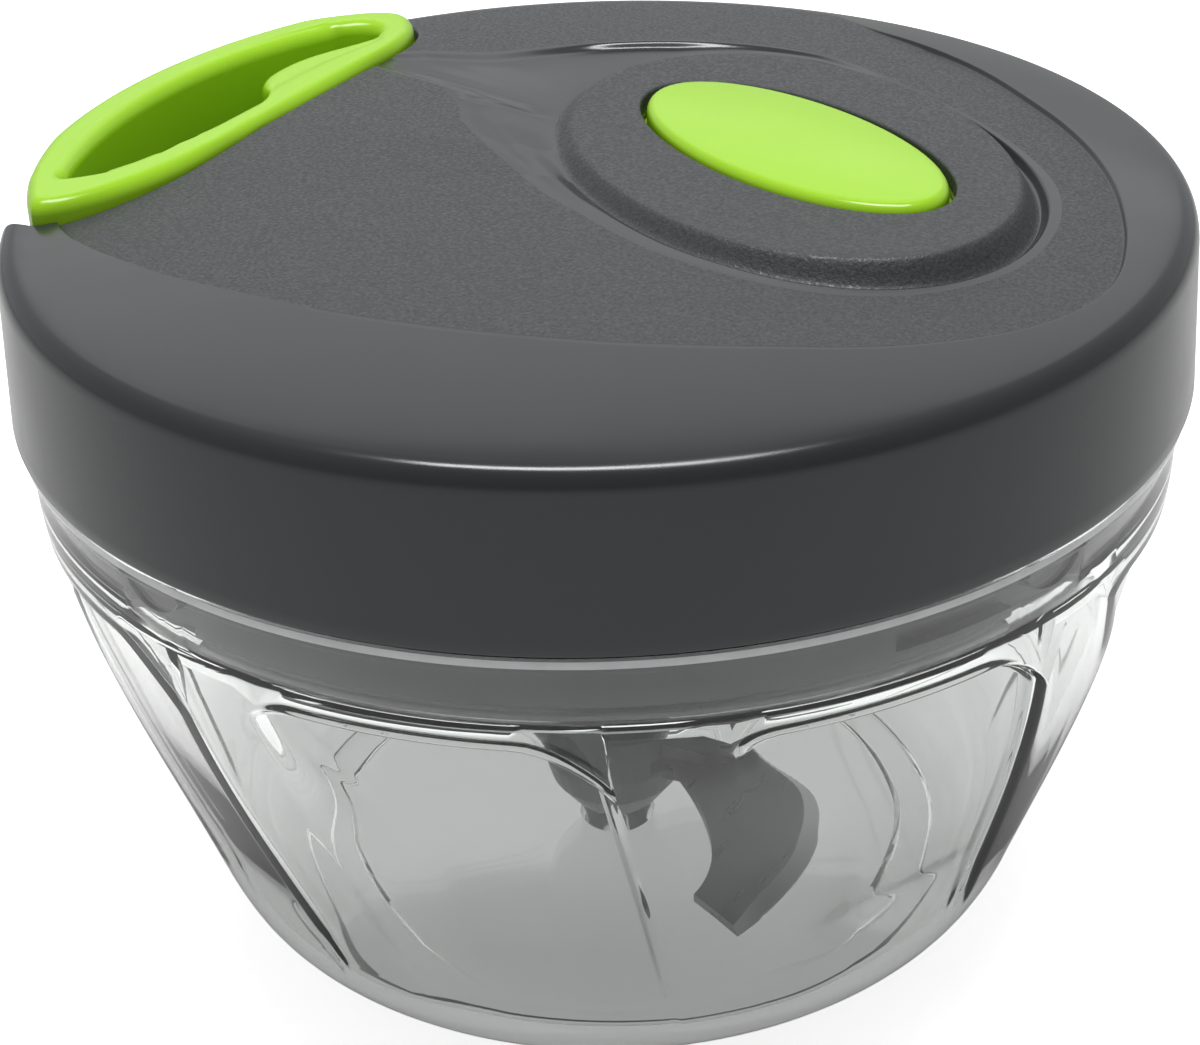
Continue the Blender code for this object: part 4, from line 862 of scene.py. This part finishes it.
class CHOPPER_OT_lid_cover(bpy.types.Operator):
    """Make the lid's outer cover: glossy ring, skirt and valley, grained panel and collar, handle recess"""

    bl_idname = "chopper.lid_cover"
    bl_label = "Lid cover"

    def execute(self, context):
        floor = HANDLE_LOW - HANDLE_GAP
        posts = screw_rods(POST_R, FLOOR_Z + FLOOR_T + CLEAR, LID_Z + CREASE_H)
        mesh = solid(cover_shell(), [recess_block(floor - 2.0), *posts], "UNION")
        mesh = solid(mesh, [recess_tool(floor)], "DIFFERENCE")
        holes = [cord_rod(GUIDE_R + CLEAR, HANDLE_X + 4.0, HANDLE_X - 4.0)]
        mesh = solid(mesh, holes + screw_rods(POST_BORE, FLOOR_Z, FLOOR_Z + 11.0), "DIFFERENCE")
        add_piece("lid_shell", mesh, LID_FINISHES, "lid", "lid_cover")
        return {"FINISHED"}


# Handle and button


class CHOPPER_OT_handle(bpy.types.Operator):
    """Make the lime handle: outline and finger opening joined by a section with four rounded edges"""

    bl_idname = "chopper.handle"
    bl_label = "Handle"

    def execute(self, context):
        outer, inner = np.concatenate(handle_outline()), np.concatenate(loop_outline())
        across = inner - outer
        width = np.linalg.norm(across, axis=1)
        across /= width[:, None]
        soft = np.minimum(sizes().edge_round / MM, 0.36 * width)
        top = HANDLE_TOP
        step = 0.45 * smooth((width - soft - 3.6) / 1.4)
        rows = []

        def add(start, inset, height):
            inset, level = (np.broadcast_to(v, width.shape) for v in (inset, height))
            rows.append(np.column_stack([start + across * inset[:, None], level]))

        for rise, inset in rounding(0.7, 8)[::2]:
            add(outer, inset, HANDLE_LOW + rise)
        add(outer, 0.0, HANDLE_LOW + 5.0)
        for inset, drop in rounding(soft, 8):
            add(outer, inset, top - drop)
        for share in np.linspace(0.08, 0.95, 12):
            inset = soft + share * (width - 2.0 * soft)
            sunk = (outer[:, 1] > -8.0) & (width > inset)
            add(outer, inset, top - 0.45 * smooth((inset - 3.6) / 1.4) * sunk)
        for inset, drop in rounding(soft, 8)[::-1]:
            add(inner, -inset, top - step - drop)
        add(inner, 0.0, HANDLE_LOW + 5.0)
        for rise, inset in rounding(0.5, 8)[::-2]:
            add(inner, -inset, HANDLE_LOW + rise)
        mesh = loft_mesh([(np.array(rows), True)])
        bores = (CORD_R + CLEAR, HANDLE_X + 3.0, KNOT_X), (POCKET_R, KNOT_X + 1.8, KNOT_X - 5.0)
        for bore in bores:
            mesh = solid(mesh, [cord_rod(*bore)], "DIFFERENCE")
        add_piece("pull_handle", mesh, ["lime_gloss"], "handle", "handle")
        return {"FINISHED"}


class CHOPPER_OT_button(bpy.types.Operator):
    """Make the oval button: rounded rim, low crown, retaining lip and stem"""

    bl_idname = "chopper.button"
    bl_label = "Button"

    def execute(self, context):
        degrees = np.arange(0.0, 360.0, 1.8)
        lip_top = COLLAR_CEILING - CLEAR
        rim_top = BUTTON_TOP - sizes().button_crown / MM
        flange = BUTTON_GAP + 0.7
        rows = []

        def add(grow, height, shrink=1.0):
            plan = np.stack(from_pole(oval_reach(BUTTON_OVAL, degrees, grow), degrees), axis=-1)
            plan = BUTTON_OVAL[:2] + (plan - BUTTON_OVAL[:2]) * shrink
            rows.append(np.column_stack([plan, np.full(len(plan), height)]))

        side = ((flange, lip_top - 0.8), (flange, lip_top), (0.0, lip_top), (0.0, rim_top - BUTTON_ROUND))
        for grow, height in side:
            add(grow, height)
        for inset, drop in rounding(BUTTON_ROUND, 8, 10.0, 76.0):
            add(-inset, rim_top - drop)
        base = rim_top - drop
        for share in np.linspace(0.04, 0.98, 14):
            add(-inset, base + (BUTTON_TOP - base) * (1.0 - (1.0 - share) ** 2.4), 1.0 - share)
        stem = rod(1.6, STEM_AT, 76.4, lip_top - 0.3)
        mesh = solid(loft_mesh([(np.array(rows), False)]), [stem], "UNION")
        add_piece("push_button", mesh, ["lime_gloss"], "button", "button")
        self.spring()
        return {"FINISHED"}

    def spring(self):
        """The coil under the button."""
        turn = np.linspace(0.0, 4.0 * math.pi, 121)
        height = np.linspace(*BUTTON_SPRING_Z, len(turn))
        line = coil_line(BUTTON_SPRING_R, turn, height) + (*STEM_AT, 0.0)
        mesh = loft_mesh([(tube_rows(line, BUTTON_WIRE_R, 10), False)])
        coil = add_piece("button_coil", mesh, ["spring_steel"], None, "button_spring")
        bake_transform(coil)


# Bowl


def bowl_wall(count):
    """The round wall's outline from the band down to the foot's corner, a cubic in radius and height."""
    return bezier((BAND_R, BAND_LOW), (BAND_R - 0.8, BAND_LOW - 14.0), (CORNER_R + 5.4, CORNER_Z + 15.0),
                  (CORNER_R, CORNER_Z), count)


def bowl_corner(count):
    """The rounded corner from the wall to the foot."""
    return bezier((CORNER_R, CORNER_Z), (CORNER_R - 1.7, CORNER_Z - 5.2), (FOOT_R + 5.5, FOOT_H),
                  (FOOT_R, FOOT_H), count)


def ledge_drop(share):
    """How far a panel's upper ledge drops at its rounded corners, more at the right one."""
    right, left = np.clip(1.0 - share / 0.24, 0.0, 1.0), np.clip((share - 0.86) / 0.14, 0.0, 1.0)
    return 6.5 * right ** 2 + 1.5 * left ** 2


def panel_mask(share, level):
    """How deep a point lies in its grip panel, 0 to 1: crisp right edge, left edge that softens downwards, a
    ledge above, and a long fade at the foot."""
    right = smooth(share / 0.05)
    left = smooth((1.0 - share) / (0.07 + 0.3 * smooth((PANEL_TOP - level) / 16.0)))
    return right * left * smooth((PANEL_TOP - level) / 0.9) * smooth((level - 4.6) / 16.0)


def swing_at(height):
    """How far the bowl's columns have swung round at a height, in radians."""
    return np.radians(PANEL_LEAN) * np.clip((PANEL_TOP - height) / (PANEL_TOP - CORNER_Z), 0.0, 1.0)


def panelled(turn, inset=0.0):
    """Rows of the wall from the band down to the foot's corner, sunk where the grip panels are.

    A panel is a fixed depth plus a share of the sagitta between the round wall and the panel's chord, both
    faded by panel_mask. Near the top the rows drop with the panel's ledge. The inner face is the same surface
    moved in.
    """
    curve = np.concatenate([bowl_wall(300), bowl_corner(80)[1:]])[::-1]
    ledge = (BAND_LOW, PANEL_TOP + 0.3, 6), (PANEL_TOP, PANEL_TOP - 1.2, 10)
    below = (PANEL_TOP - 1.8, CORNER_Z + 0.4, 48)
    levels = np.concatenate([steps(*ledge, below), bowl_corner(16)[:, 1]])[:, None]
    if inset:
        levels = levels[(levels[:, 0] > FOOT_H + 1.4) & (levels[:, 0] < PANEL_TOP + 0.4)]
    pitch = 360.0 / PANELS
    across = (PANEL_EDGE - np.degrees(turn)[None, :]) % pitch / PANEL_WIDE
    inside = across <= 1.0
    across = np.where(inside, across, 1.0)
    window = (smooth((BAND_LOW - levels) / (BAND_LOW - PANEL_TOP))
              * smooth((levels - LEDGE_FADE) / (PANEL_TOP - LEDGE_FADE)))
    height = levels - ledge_drop(across) * window * inside
    reach = np.interp(height, curve[:, 1], curve[:, 0])
    half = math.radians(PANEL_WIDE / 2)
    chord = 1.0 - math.cos(half) / np.cos((across - 0.5) * 2.0 * half)
    depth = sizes().panel_depth / MM + PANEL_FLAT * chord * reach
    reach = reach - inset - depth * panel_mask(across, levels) * inside
    swung = turn[None, :] + swing_at(height)
    if inset:
        height = height + FLOOR_RISE * (1.0 - smooth((height - 8.0) / 30.0))
    return np.stack([reach * np.cos(swung), reach * np.sin(swung), height], axis=-1)


def bowl_rows(turn):
    """Flange, band, wall with its leaning panels, corner and foot, then the inner face back up."""
    top = LID_Z - CLEAR
    flange = [(FLANGE_R - 0.4, top), (FLANGE_R - 0.12, top - 0.12), (FLANGE_R, top - 0.4),
              (FLANGE_R, top - 1.2), (FLANGE_R, top - 1.5), (FLANGE_R - 0.2, top - 1.9),
              (BAND_R + 0.1, top - 2.1), (BAND_R, top - 2.4), (BAND_R, BAND_LOW + 1.5)]
    foot = [(FOOT_R, 0.3), (FOOT_R - 0.3, 0.0), (FOOT_R - FOOT_W + 0.3, 0.0), (FOOT_R - FOOT_W, 0.3),
            (FOOT_R - FOOT_W - 0.6, FOOT_H), (12.0, FOOT_H), (4.4, FOOT_H), (1.25, FOOT_H),
            (1.25, FOOT_H + 0.8), (2.5, FOOT_H + 0.8)]
    floor = FOOT_H + BOWL_FLOOR_T
    boss = [(2.5, floor + 1.6), (3.4, floor + 1.6), (3.6, floor + 1.4), (4.4, floor), (12.0, floor),
            (30.0, floor)]
    mouth = [(BORE_R - 1.9, 53.6), (BORE_R - 1.7, 54.3), (BORE_R - 1.2, 54.8), (BORE_R - 0.6, 54.97),
             (BORE_R - 0.15, 55.1), (BORE_R, 55.6), (BORE_R, top - 0.3), (BORE_R + 0.3, top)]
    middle = level_rows(*np.array(foot + boss).T, turn + math.radians(PANEL_LEAN))
    return np.concatenate([level_rows(*np.array(flange).T, turn), panelled(turn), middle,
                           panelled(turn, WALL)[::-1], level_rows(*np.array(mouth).T, turn)])


def bowl_lugs():
    """Four half-ellipse lugs inside the mouth, a little proud of the bore."""
    half_turn = np.radians(np.linspace(0.0, 180.0, 25))
    height = LUG_TOP - LUG_DROP * np.sin(half_turn)
    lugs = []
    for k in range(4):
        middle = math.radians(LUG_AT + 90.0 * k)
        rows = [coil_line(radius, middle + 0.5 * LUG_WIDE * np.cos(half_turn) / radius, height)
                for radius in (BORE_R - LUG_DEEP, BORE_R + 0.8)]
        lugs.append((np.array(rows), False))
    return lugs


class CHOPPER_OT_bowl(bpy.types.Operator):
    """Make the clear bowl: a turned wall with eight leaning grip panels and four lugs in its mouth"""

    bl_idname = "chopper.bowl"
    bl_label = "Bowl"

    def execute(self, context):
        pitch = 360.0 / PANELS
        local = np.concatenate([PANEL_WIDE * steps((0.0, 0.05, 8), (0.07, 0.6, 16), (0.62, 1.0, 26)),
                                PANEL_WIDE + (pitch - PANEL_WIDE) * np.linspace(0.2, 0.85, 4)])
        degrees = np.sort(np.concatenate([PANEL_EDGE - local - pitch * k for k in range(PANELS)]))
        mesh = loft_mesh([(bowl_rows(np.radians(degrees)), True)], 40.0)
        coat(mesh, BOWL_FINISHES)
        # the flange's outer face takes the second material, its painted highlight
        mark_faces(mesh, 2 * len(degrees), len(degrees))
        mesh = solid(mesh, bowl_lugs(), "UNION")
        add_piece("clear_bowl", mesh, BOWL_FINISHES, "bowl", "bowl")
        return {"FINISHED"}


# Cord


def with_braid_uv(mesh, length, around, sides):
    """UV map on a tube's grid: u once round the cord, v along it in cord circumferences."""
    layer = mesh.uv_layers.new(name="braid")
    index = np.zeros(len(mesh.loops), dtype=np.int64)
    mesh.loops.foreach_get("vertex_index", index)
    row, col = index // sides, index % sides
    uv = np.stack([col / sides * 4.0, row / row.max() * length / around * 4.0], axis=-1)
    layer.data.foreach_set("uv", uv.ravel())


def section_rows(line, lean, beside, radius, sides):
    """A round section carried along a path, square to its lean; its side is the lean crossed with beside."""
    lean = lean / np.linalg.norm(lean, axis=1)[:, None]
    side = np.cross(lean, beside)
    side /= np.linalg.norm(side, axis=1)[:, None]
    up = np.cross(side, lean)
    turn = full_turn(sides)[None, :, None]
    return line[:, None, :] + radius * (np.cos(turn) * side[:, None, :] + np.sin(turn) * up[:, None, :])


def tube_rows(line, radius, sides):
    """A tube on an open path, with its sides kept level with Z."""
    return section_rows(line, np.gradient(line, axis=0), (0.0, 0.0, 1.0), radius, sides)


class CHOPPER_OT_cord(bpy.types.Operator):
    """Make the cord: three turns on the drum, the run through the guide into the handle, and its knot"""

    bl_idname = "chopper.cord"
    bl_label = "Cord"

    def execute(self, context):
        radius = sizes().cord_radius / MM
        around = 2.0 * math.pi * radius
        turn = np.linspace(-CORD_TURNS * 2.0 * math.pi, 0.0, int(CORD_TURNS * 60) + 1) + math.pi / 2
        height = CORD_Z + CORD_PITCH * (turn - math.pi / 2) / (2.0 * math.pi)
        mesh = loft_mesh([(tube_rows(coil_line(CORD_Y, turn, height), radius, 12), False)])
        with_braid_uv(mesh, CORD_TURNS * 2.0 * math.pi * CORD_Y, around, 12)
        add_piece("wound_cord", mesh, ["braided_cord"], "spool", "cord_winding")
        run = np.linspace(-8.5, KNOT_X + 1.7, 90)
        line = np.stack([run, np.full(90, CORD_Y), np.full(90, CORD_Z)], axis=-1)
        mesh = loft_mesh([(tube_rows(line, radius, 14), False)])
        with_braid_uv(mesh, 300.0, around, 14)
        pull = add_piece("pull_cord", mesh, ["braided_cord"], None, "cord_run", ["cord_tail"])
        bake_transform(pull)
        self.knot(radius)
        return {"FINISHED"}

    def knot(self, radius):
        """An overhand knot: a trefoil line, thickened, drawn tight in the handle's pocket."""
        t = np.linspace(0.0, 2.0 * math.pi, 97)[:-1]
        ring = 0.42 * (2.0 + np.cos(3.0 * t))
        line = np.stack([0.55 * np.sin(3.0 * t), ring * np.cos(2.0 * t) * 0.62,
                         ring * np.sin(2.0 * t) * 0.62], axis=-1)
        line += (KNOT_X, CORD_Y, CORD_Z)
        lean = np.roll(line, -1, axis=0) - np.roll(line, 1, axis=0)
        rows = section_rows(line, lean, line - (KNOT_X, CORD_Y, CORD_Z), 0.8 * radius, 12)
        mesh = loft_mesh([(rows, True)])
        with_braid_uv(mesh, 20.0, 4.4, 12)
        add_piece("cord_end_knot", mesh, ["braided_cord"], "handle", "cord_knot")


# Plug and seal


def sector_rows(inner, outer, start, end, low, high, count=14):
    """Rows of a curved block between two radii and two angles in degrees."""
    outline = np.concatenate([arc(outer, start, end, count), arc(inner, end, start, count)])
    return upright(outline, low, high)


class CHOPPER_OT_plug(bpy.types.Operator):
    """Make the lid's inner moulding with its bayonet grooves, and the clear seal ring under it"""

    bl_idname = "chopper.plug"
    bl_label = "Plug and seal"

    def execute(self, context):
        half = math.degrees(0.5 * LUG_WIDE / (BORE_R - LUG_DEEP)) + 1.0
        self.plug(half)
        self.seal(half)
        return {"FINISHED"}

    def plug(self, half):
        rim = LID_R - COVER_T - CLEAR
        floor_top = FLOOR_Z + FLOOR_T
        top = LID_Z + RIM_T
        profile = [(NECK_BORE, FLOOR_Z), (PLUG_IN_R, FLOOR_Z), (PLUG_IN_R, PLUG_Z + 0.3),
                   (PLUG_IN_R + 0.3, PLUG_Z), (PLUG_R - 0.4, PLUG_Z), (PLUG_R - 0.12, PLUG_Z + 0.12),
                   (PLUG_R, PLUG_Z + 0.4), (PLUG_R, LID_Z), (rim, LID_Z), (rim, top), (PLUG_IN_R + 0.2, top),
                   (PLUG_IN_R, top - 0.2), (PLUG_IN_R, floor_top), (NECK_BORE, floor_top)]
        mesh = loft_mesh([(level_rows(*np.array(profile).T, full_turn(256)), True)])
        middles = [LUG_AT + 90.0 * k for k in range(4)]
        grooves = [sector_rows(GROOVE_R, PLUG_R + 1.0, middle - half - 0.2 - TWIST, middle + half + 0.2,
                               LUG_TOP - LUG_DROP - CLEAR, LUG_TOP + CLEAR) for middle in middles]
        entries = [sector_rows(GROOVE_R + 0.02, PLUG_R + 1.0, middle - half, middle + half, PLUG_Z - 1.0,
                               LUG_TOP - 1.0) for middle in middles]
        for cuts in (grooves, entries, screw_rods(SCREW_CORE + CLEAR, FLOOR_Z - 1.0, floor_top + 1.0)):
            mesh = solid(mesh, cuts, "DIFFERENCE")
        add_piece("bayonet_plug", mesh, ["dark_plastic"], "lid", "lid_base")

    def seal(self, half):
        """The ring's outer radius drops to the groove's where a lug passes; its edges are rounded."""
        turn = full_turn(720)
        outer = np.where(away_from(LUG_AT, np.degrees(turn), 90.0) < half, GROOVE_R, PLUG_R + 0.1)
        inner = np.full(len(turn), PLUG_IN_R - 0.2)
        radii = [inner + 0.15, inner, inner, inner + 0.15, outer - 0.2, outer, outer, outer - 0.2]
        high = SEAL_LOW + SEAL_T
        heights = [SEAL_LOW, SEAL_LOW + 0.15, high - 0.15, high, high, high - 0.2, SEAL_LOW + 0.2, SEAL_LOW]
        mesh = loft_mesh([(level_rows(np.array(radii), heights, turn), True)])
        add_piece("clear_seal_ring", mesh, ["clear_seal"], "lid", "seal_ring")


# Finishes of the carried-over pieces


class CHOPPER_OT_drive(bpy.types.Operator):
    """Finish the pieces inside the lid: spool, coupling, pawls, springs, cup, guide and screws"""

    bl_idname = "chopper.drive"
    bl_label = "Drive and fittings"

    def execute(self, context):
        finishes = {
            "natural_plastic": ("spool", "drive_coupling", "cord_guide"),
            "dark_plastic": ("spring_cup", "blade_shaft"),
            "brushed_steel": ("pawl_a", "pawl_b", "spindle", "centre_pin", "lid_screw_a", "lid_screw_b",
                              "lid_screw_c"),
            "spring_steel": ("recoil_spring",),
        }
        for name, nodes in finishes.items():
            for node in nodes:
                dress(node, name)
        return {"FINISHED"}


def blade_outline(inset=0.0):
    """Plan of one sickle blade, tip along +X: convex edge moved in by the inset, then concave back."""
    edge = bezier((2.0, 10.0), (12.0, 20.5), (30.0, 20.5), (BLADE_REACH, 0.0), EDGE_STEPS)
    back = bezier((BLADE_REACH - 6.8, -2.2), (26.0, 5.0), (13.0, 5.0), (4.6, 3.0), 31)
    lean = np.gradient(edge, axis=0)
    side = np.stack([lean[:, 1], -lean[:, 0]], axis=-1) / np.linalg.norm(lean, axis=1)[:, None]
    run = np.linspace(0.0, 1.0, len(edge))[:, None]
    edge = edge + side * inset * np.clip(6.0 * run, 0.0, 1.0) * np.clip(9.0 - 8.65 * run, 0.0, 1.0)
    return np.concatenate([edge, back])


class CHOPPER_OT_blades(bpy.types.Operator):
    """Make the three sickle blades, ground from above along the convex edge"""

    bl_idname = "chopper.blades"
    bl_label = "Blades"

    def execute(self, context):
        bevel = sizes().blade_bevel / MM
        for k, (node, level) in enumerate(BLADE_LEVELS.items()):
            turn = math.radians(BLADE_TIP_AT + 120.0 * k)
            rows = []
            turned = np.array(((math.cos(turn), math.sin(turn)), (-math.sin(turn), math.cos(turn))))
            section = ((0.06, -0.5), (0.0, -0.44), (0.0, -0.2), (bevel * 0.94, 0.44), (bevel, 0.5))
            for inset, height in section:
                plan = blade_outline(inset) @ turned
                rows.append(np.column_stack([plan, np.full(len(plan), level + height * BLADE_T)]))
            mesh = loft_mesh([(np.array(rows), False)], 12.0)
            # the bevel faces take the second material, the ground edge's painted highlight
            mark_faces(mesh, 2 * len(plan), EDGE_STEPS - 1)
            add_piece("ground_" + node, mesh, ["brushed_steel", "ground_edge_painted_highlight"], "blades", node)
        return {"FINISHED"}


# Studio


def area_lamp(name, size, power, place):
    """A rectangular lamp that faces the object's middle."""
    lamp = bpy.data.lights.new(name, "AREA")
    lamp.shape = "RECTANGLE"
    lamp.size, lamp.size_y = size
    lamp.energy = power
    item = bpy.data.objects.new(name, lamp)
    bpy.context.scene.collection.objects.link(item)
    item.location = place
    item.rotation_euler = (Vector(LAMP_TARGET) - Vector(place)).to_track_quat("-Z", "Y").to_euler()


class CHOPPER_OT_stage(bpy.types.Operator):
    """Make the camera, the floor, the surroundings and the lamps"""

    bl_idname = "chopper.stage"
    bl_label = "Studio"

    def execute(self, context):
        scene = context.scene
        scene.view_settings.view_transform = "Standard"
        self.camera(scene)
        self.floor()
        self.world(scene)
        self.lamps()
        return {"FINISHED"}

    def camera(self, scene):
        """The photograph's camera: it looks along AHEAD, with UP made square to it."""
        lens = bpy.data.cameras.new("camera")
        lens.lens = studio().lens
        lens.sensor_width = 36.0
        lens.clip_start = 0.01
        item = bpy.data.objects.new("camera", lens)
        scene.collection.objects.link(item)
        ahead = Vector(CAMERA_AHEAD).normalized()
        right = ahead.cross(Vector(CAMERA_UP)).normalized()
        up = right.cross(ahead)
        turn = Matrix((right, up, -ahead)).transposed().to_4x4()
        item.matrix_world = Matrix.Translation(CAMERA_AT) @ turn
        scene.camera = item

    def floor(self):
        """A wide round floor of paper; seen from the camera it glows, so that only its shadow shows."""
        sides, low = 96, -0.02
        radii = np.array([0.02, 0.3, 1.2, 3.0, 6.0]) / MM
        rows = level_rows(radii, np.full(len(radii), low), full_turn(sides))
        mesh = bpy.data.meshes.new("floor")
        points = np.concatenate([rows.reshape(-1, 3), [[0.0, 0.0, low]]]) * MM
        faces = grid_faces(len(radii), sides, False, True).tolist()
        faces += [[(j + 1) % sides, j, len(points) - 1] for j in range(sides)]
        mesh.from_pydata(points.tolist(), [], faces)
        shade = Shade("floor_paper", colours().backdrop, 0.9, Specular_IOR_Level=0.1)
        shade.tint(shade.noise(3.0, 5.0), 0.985, 1.01)
        shade.bump(shade.noise(600.0, 4.0), 0.00004, 0.3)
        path = shade.node("ShaderNodeLightPath").outputs
        part = shade.node("ShaderNodeMath", [(0, path["Is Transmission Ray"])], operation="MULTIPLY")
        either = shade.node("ShaderNodeMath", [(0, path["Is Camera Ray"]), (1, part.outputs["Value"])],
                            operation="ADD")
        glow = shade.node("ShaderNodeMath", [(0, either.outputs["Value"])], operation="MULTIPLY")
        part.inputs[1].default_value = studio().glow_through
        glow.inputs[1].default_value = studio().floor_glow
        shade.shader.inputs["Emission Color"].default_value = (1.0, 1.0, 1.0, 1.0)
        shade.feed(glow.outputs["Value"], "Emission Strength")
        add_piece("floor", mesh, ["floor_paper"], None)

    def world(self, scene):
        """White to the camera; for the light, darker towards the viewer's side, as before a light tent."""
        world = bpy.data.worlds.new("surroundings")
        scene.world = world
        world.use_nodes = True
        tree = world.node_tree
        coords = add_node(tree, "ShaderNodeTexCoord").outputs["Generated"]
        path = add_node(tree, "ShaderNodeLightPath").outputs["Is Camera Ray"]
        facing = add_node(tree, "ShaderNodeVectorMath", [(0, coords)], operation="DOT_PRODUCT")
        facing.inputs[1].default_value = VIEWER_SIDE
        level = studio().world_level
        shade = add_node(tree, "ShaderNodeMapRange", [("Value", facing.outputs["Value"])], From_Min=-0.8,
                         From_Max=0.9, To_Min=level, To_Max=level * studio().viewer_side)
        strength = add_node(tree, "ShaderNodeMix", [("Factor", path), ("A", shade.outputs["Result"])], B=1.0)
        back = tree.nodes["Background"]
        back.inputs["Color"].default_value = (1.0, 1.0, 1.0, 1.0)
        tree.links.new(strength.outputs["Result"], back.inputs["Strength"])

    def lamps(self):
        """A soft light overhead, whose reflection draws the crease, and a broad one behind."""
        area_lamp("top_softbox", (0.46, 0.16), studio().top_power, (0.02, -0.06, 0.8))
        area_lamp("back_softbox", (0.9, 0.5), studio().back_power, (-0.42, 0.7, 0.62))


class CHOPPER_PT_panel(bpy.types.Panel):
    """The chopper's tools in the sidebar"""

    bl_idname = "CHOPPER_PT_panel"
    bl_label = "Chopper"
    bl_space_type = "VIEW_3D"
    bl_region_type = "UI"
    bl_category = "Chopper"

    def draw(self, context):
        for operator in OPERATORS:
            self.layout.operator(operator.bl_idname)
        for group in (sizes(), colours(), studio()):
            box = self.layout.box()
            for key in group.__annotations__:
                box.prop(group, key)


OPERATORS = (CHOPPER_OT_stage, CHOPPER_OT_cord, CHOPPER_OT_lid_cover, CHOPPER_OT_handle, CHOPPER_OT_button,
             CHOPPER_OT_bowl, CHOPPER_OT_plug, CHOPPER_OT_blades, CHOPPER_OT_drive)
GROUPS = (ChopperSizes, ChopperColours, StudioSettings)


def register():
    for item in GROUPS + OPERATORS + (CHOPPER_PT_panel,):
        bpy.utils.register_class(item)
    bpy.types.Scene.chopper_sizes = bpy.props.PointerProperty(type=ChopperSizes)
    bpy.types.Scene.chopper_colours = bpy.props.PointerProperty(type=ChopperColours)
    bpy.types.Scene.chopper_studio = bpy.props.PointerProperty(type=StudioSettings)


def unregister():
    for name in ("chopper_sizes", "chopper_colours", "chopper_studio"):
        delattr(bpy.types.Scene, name)
    for item in reversed(GROUPS + OPERATORS + (CHOPPER_PT_panel,)):
        bpy.utils.unregister_class(item)


def main():
    """Register and make everything in order."""
    register()
    bpy.ops.chopper.stage()
    bpy.ops.chopper.cord()
    bpy.ops.chopper.lid_cover()
    bpy.ops.chopper.handle()
    bpy.ops.chopper.button()
    bpy.ops.chopper.bowl()
    bpy.ops.chopper.plug()
    bpy.ops.chopper.blades()
    bpy.ops.chopper.drive()


if __name__ == "__main__":
    main()
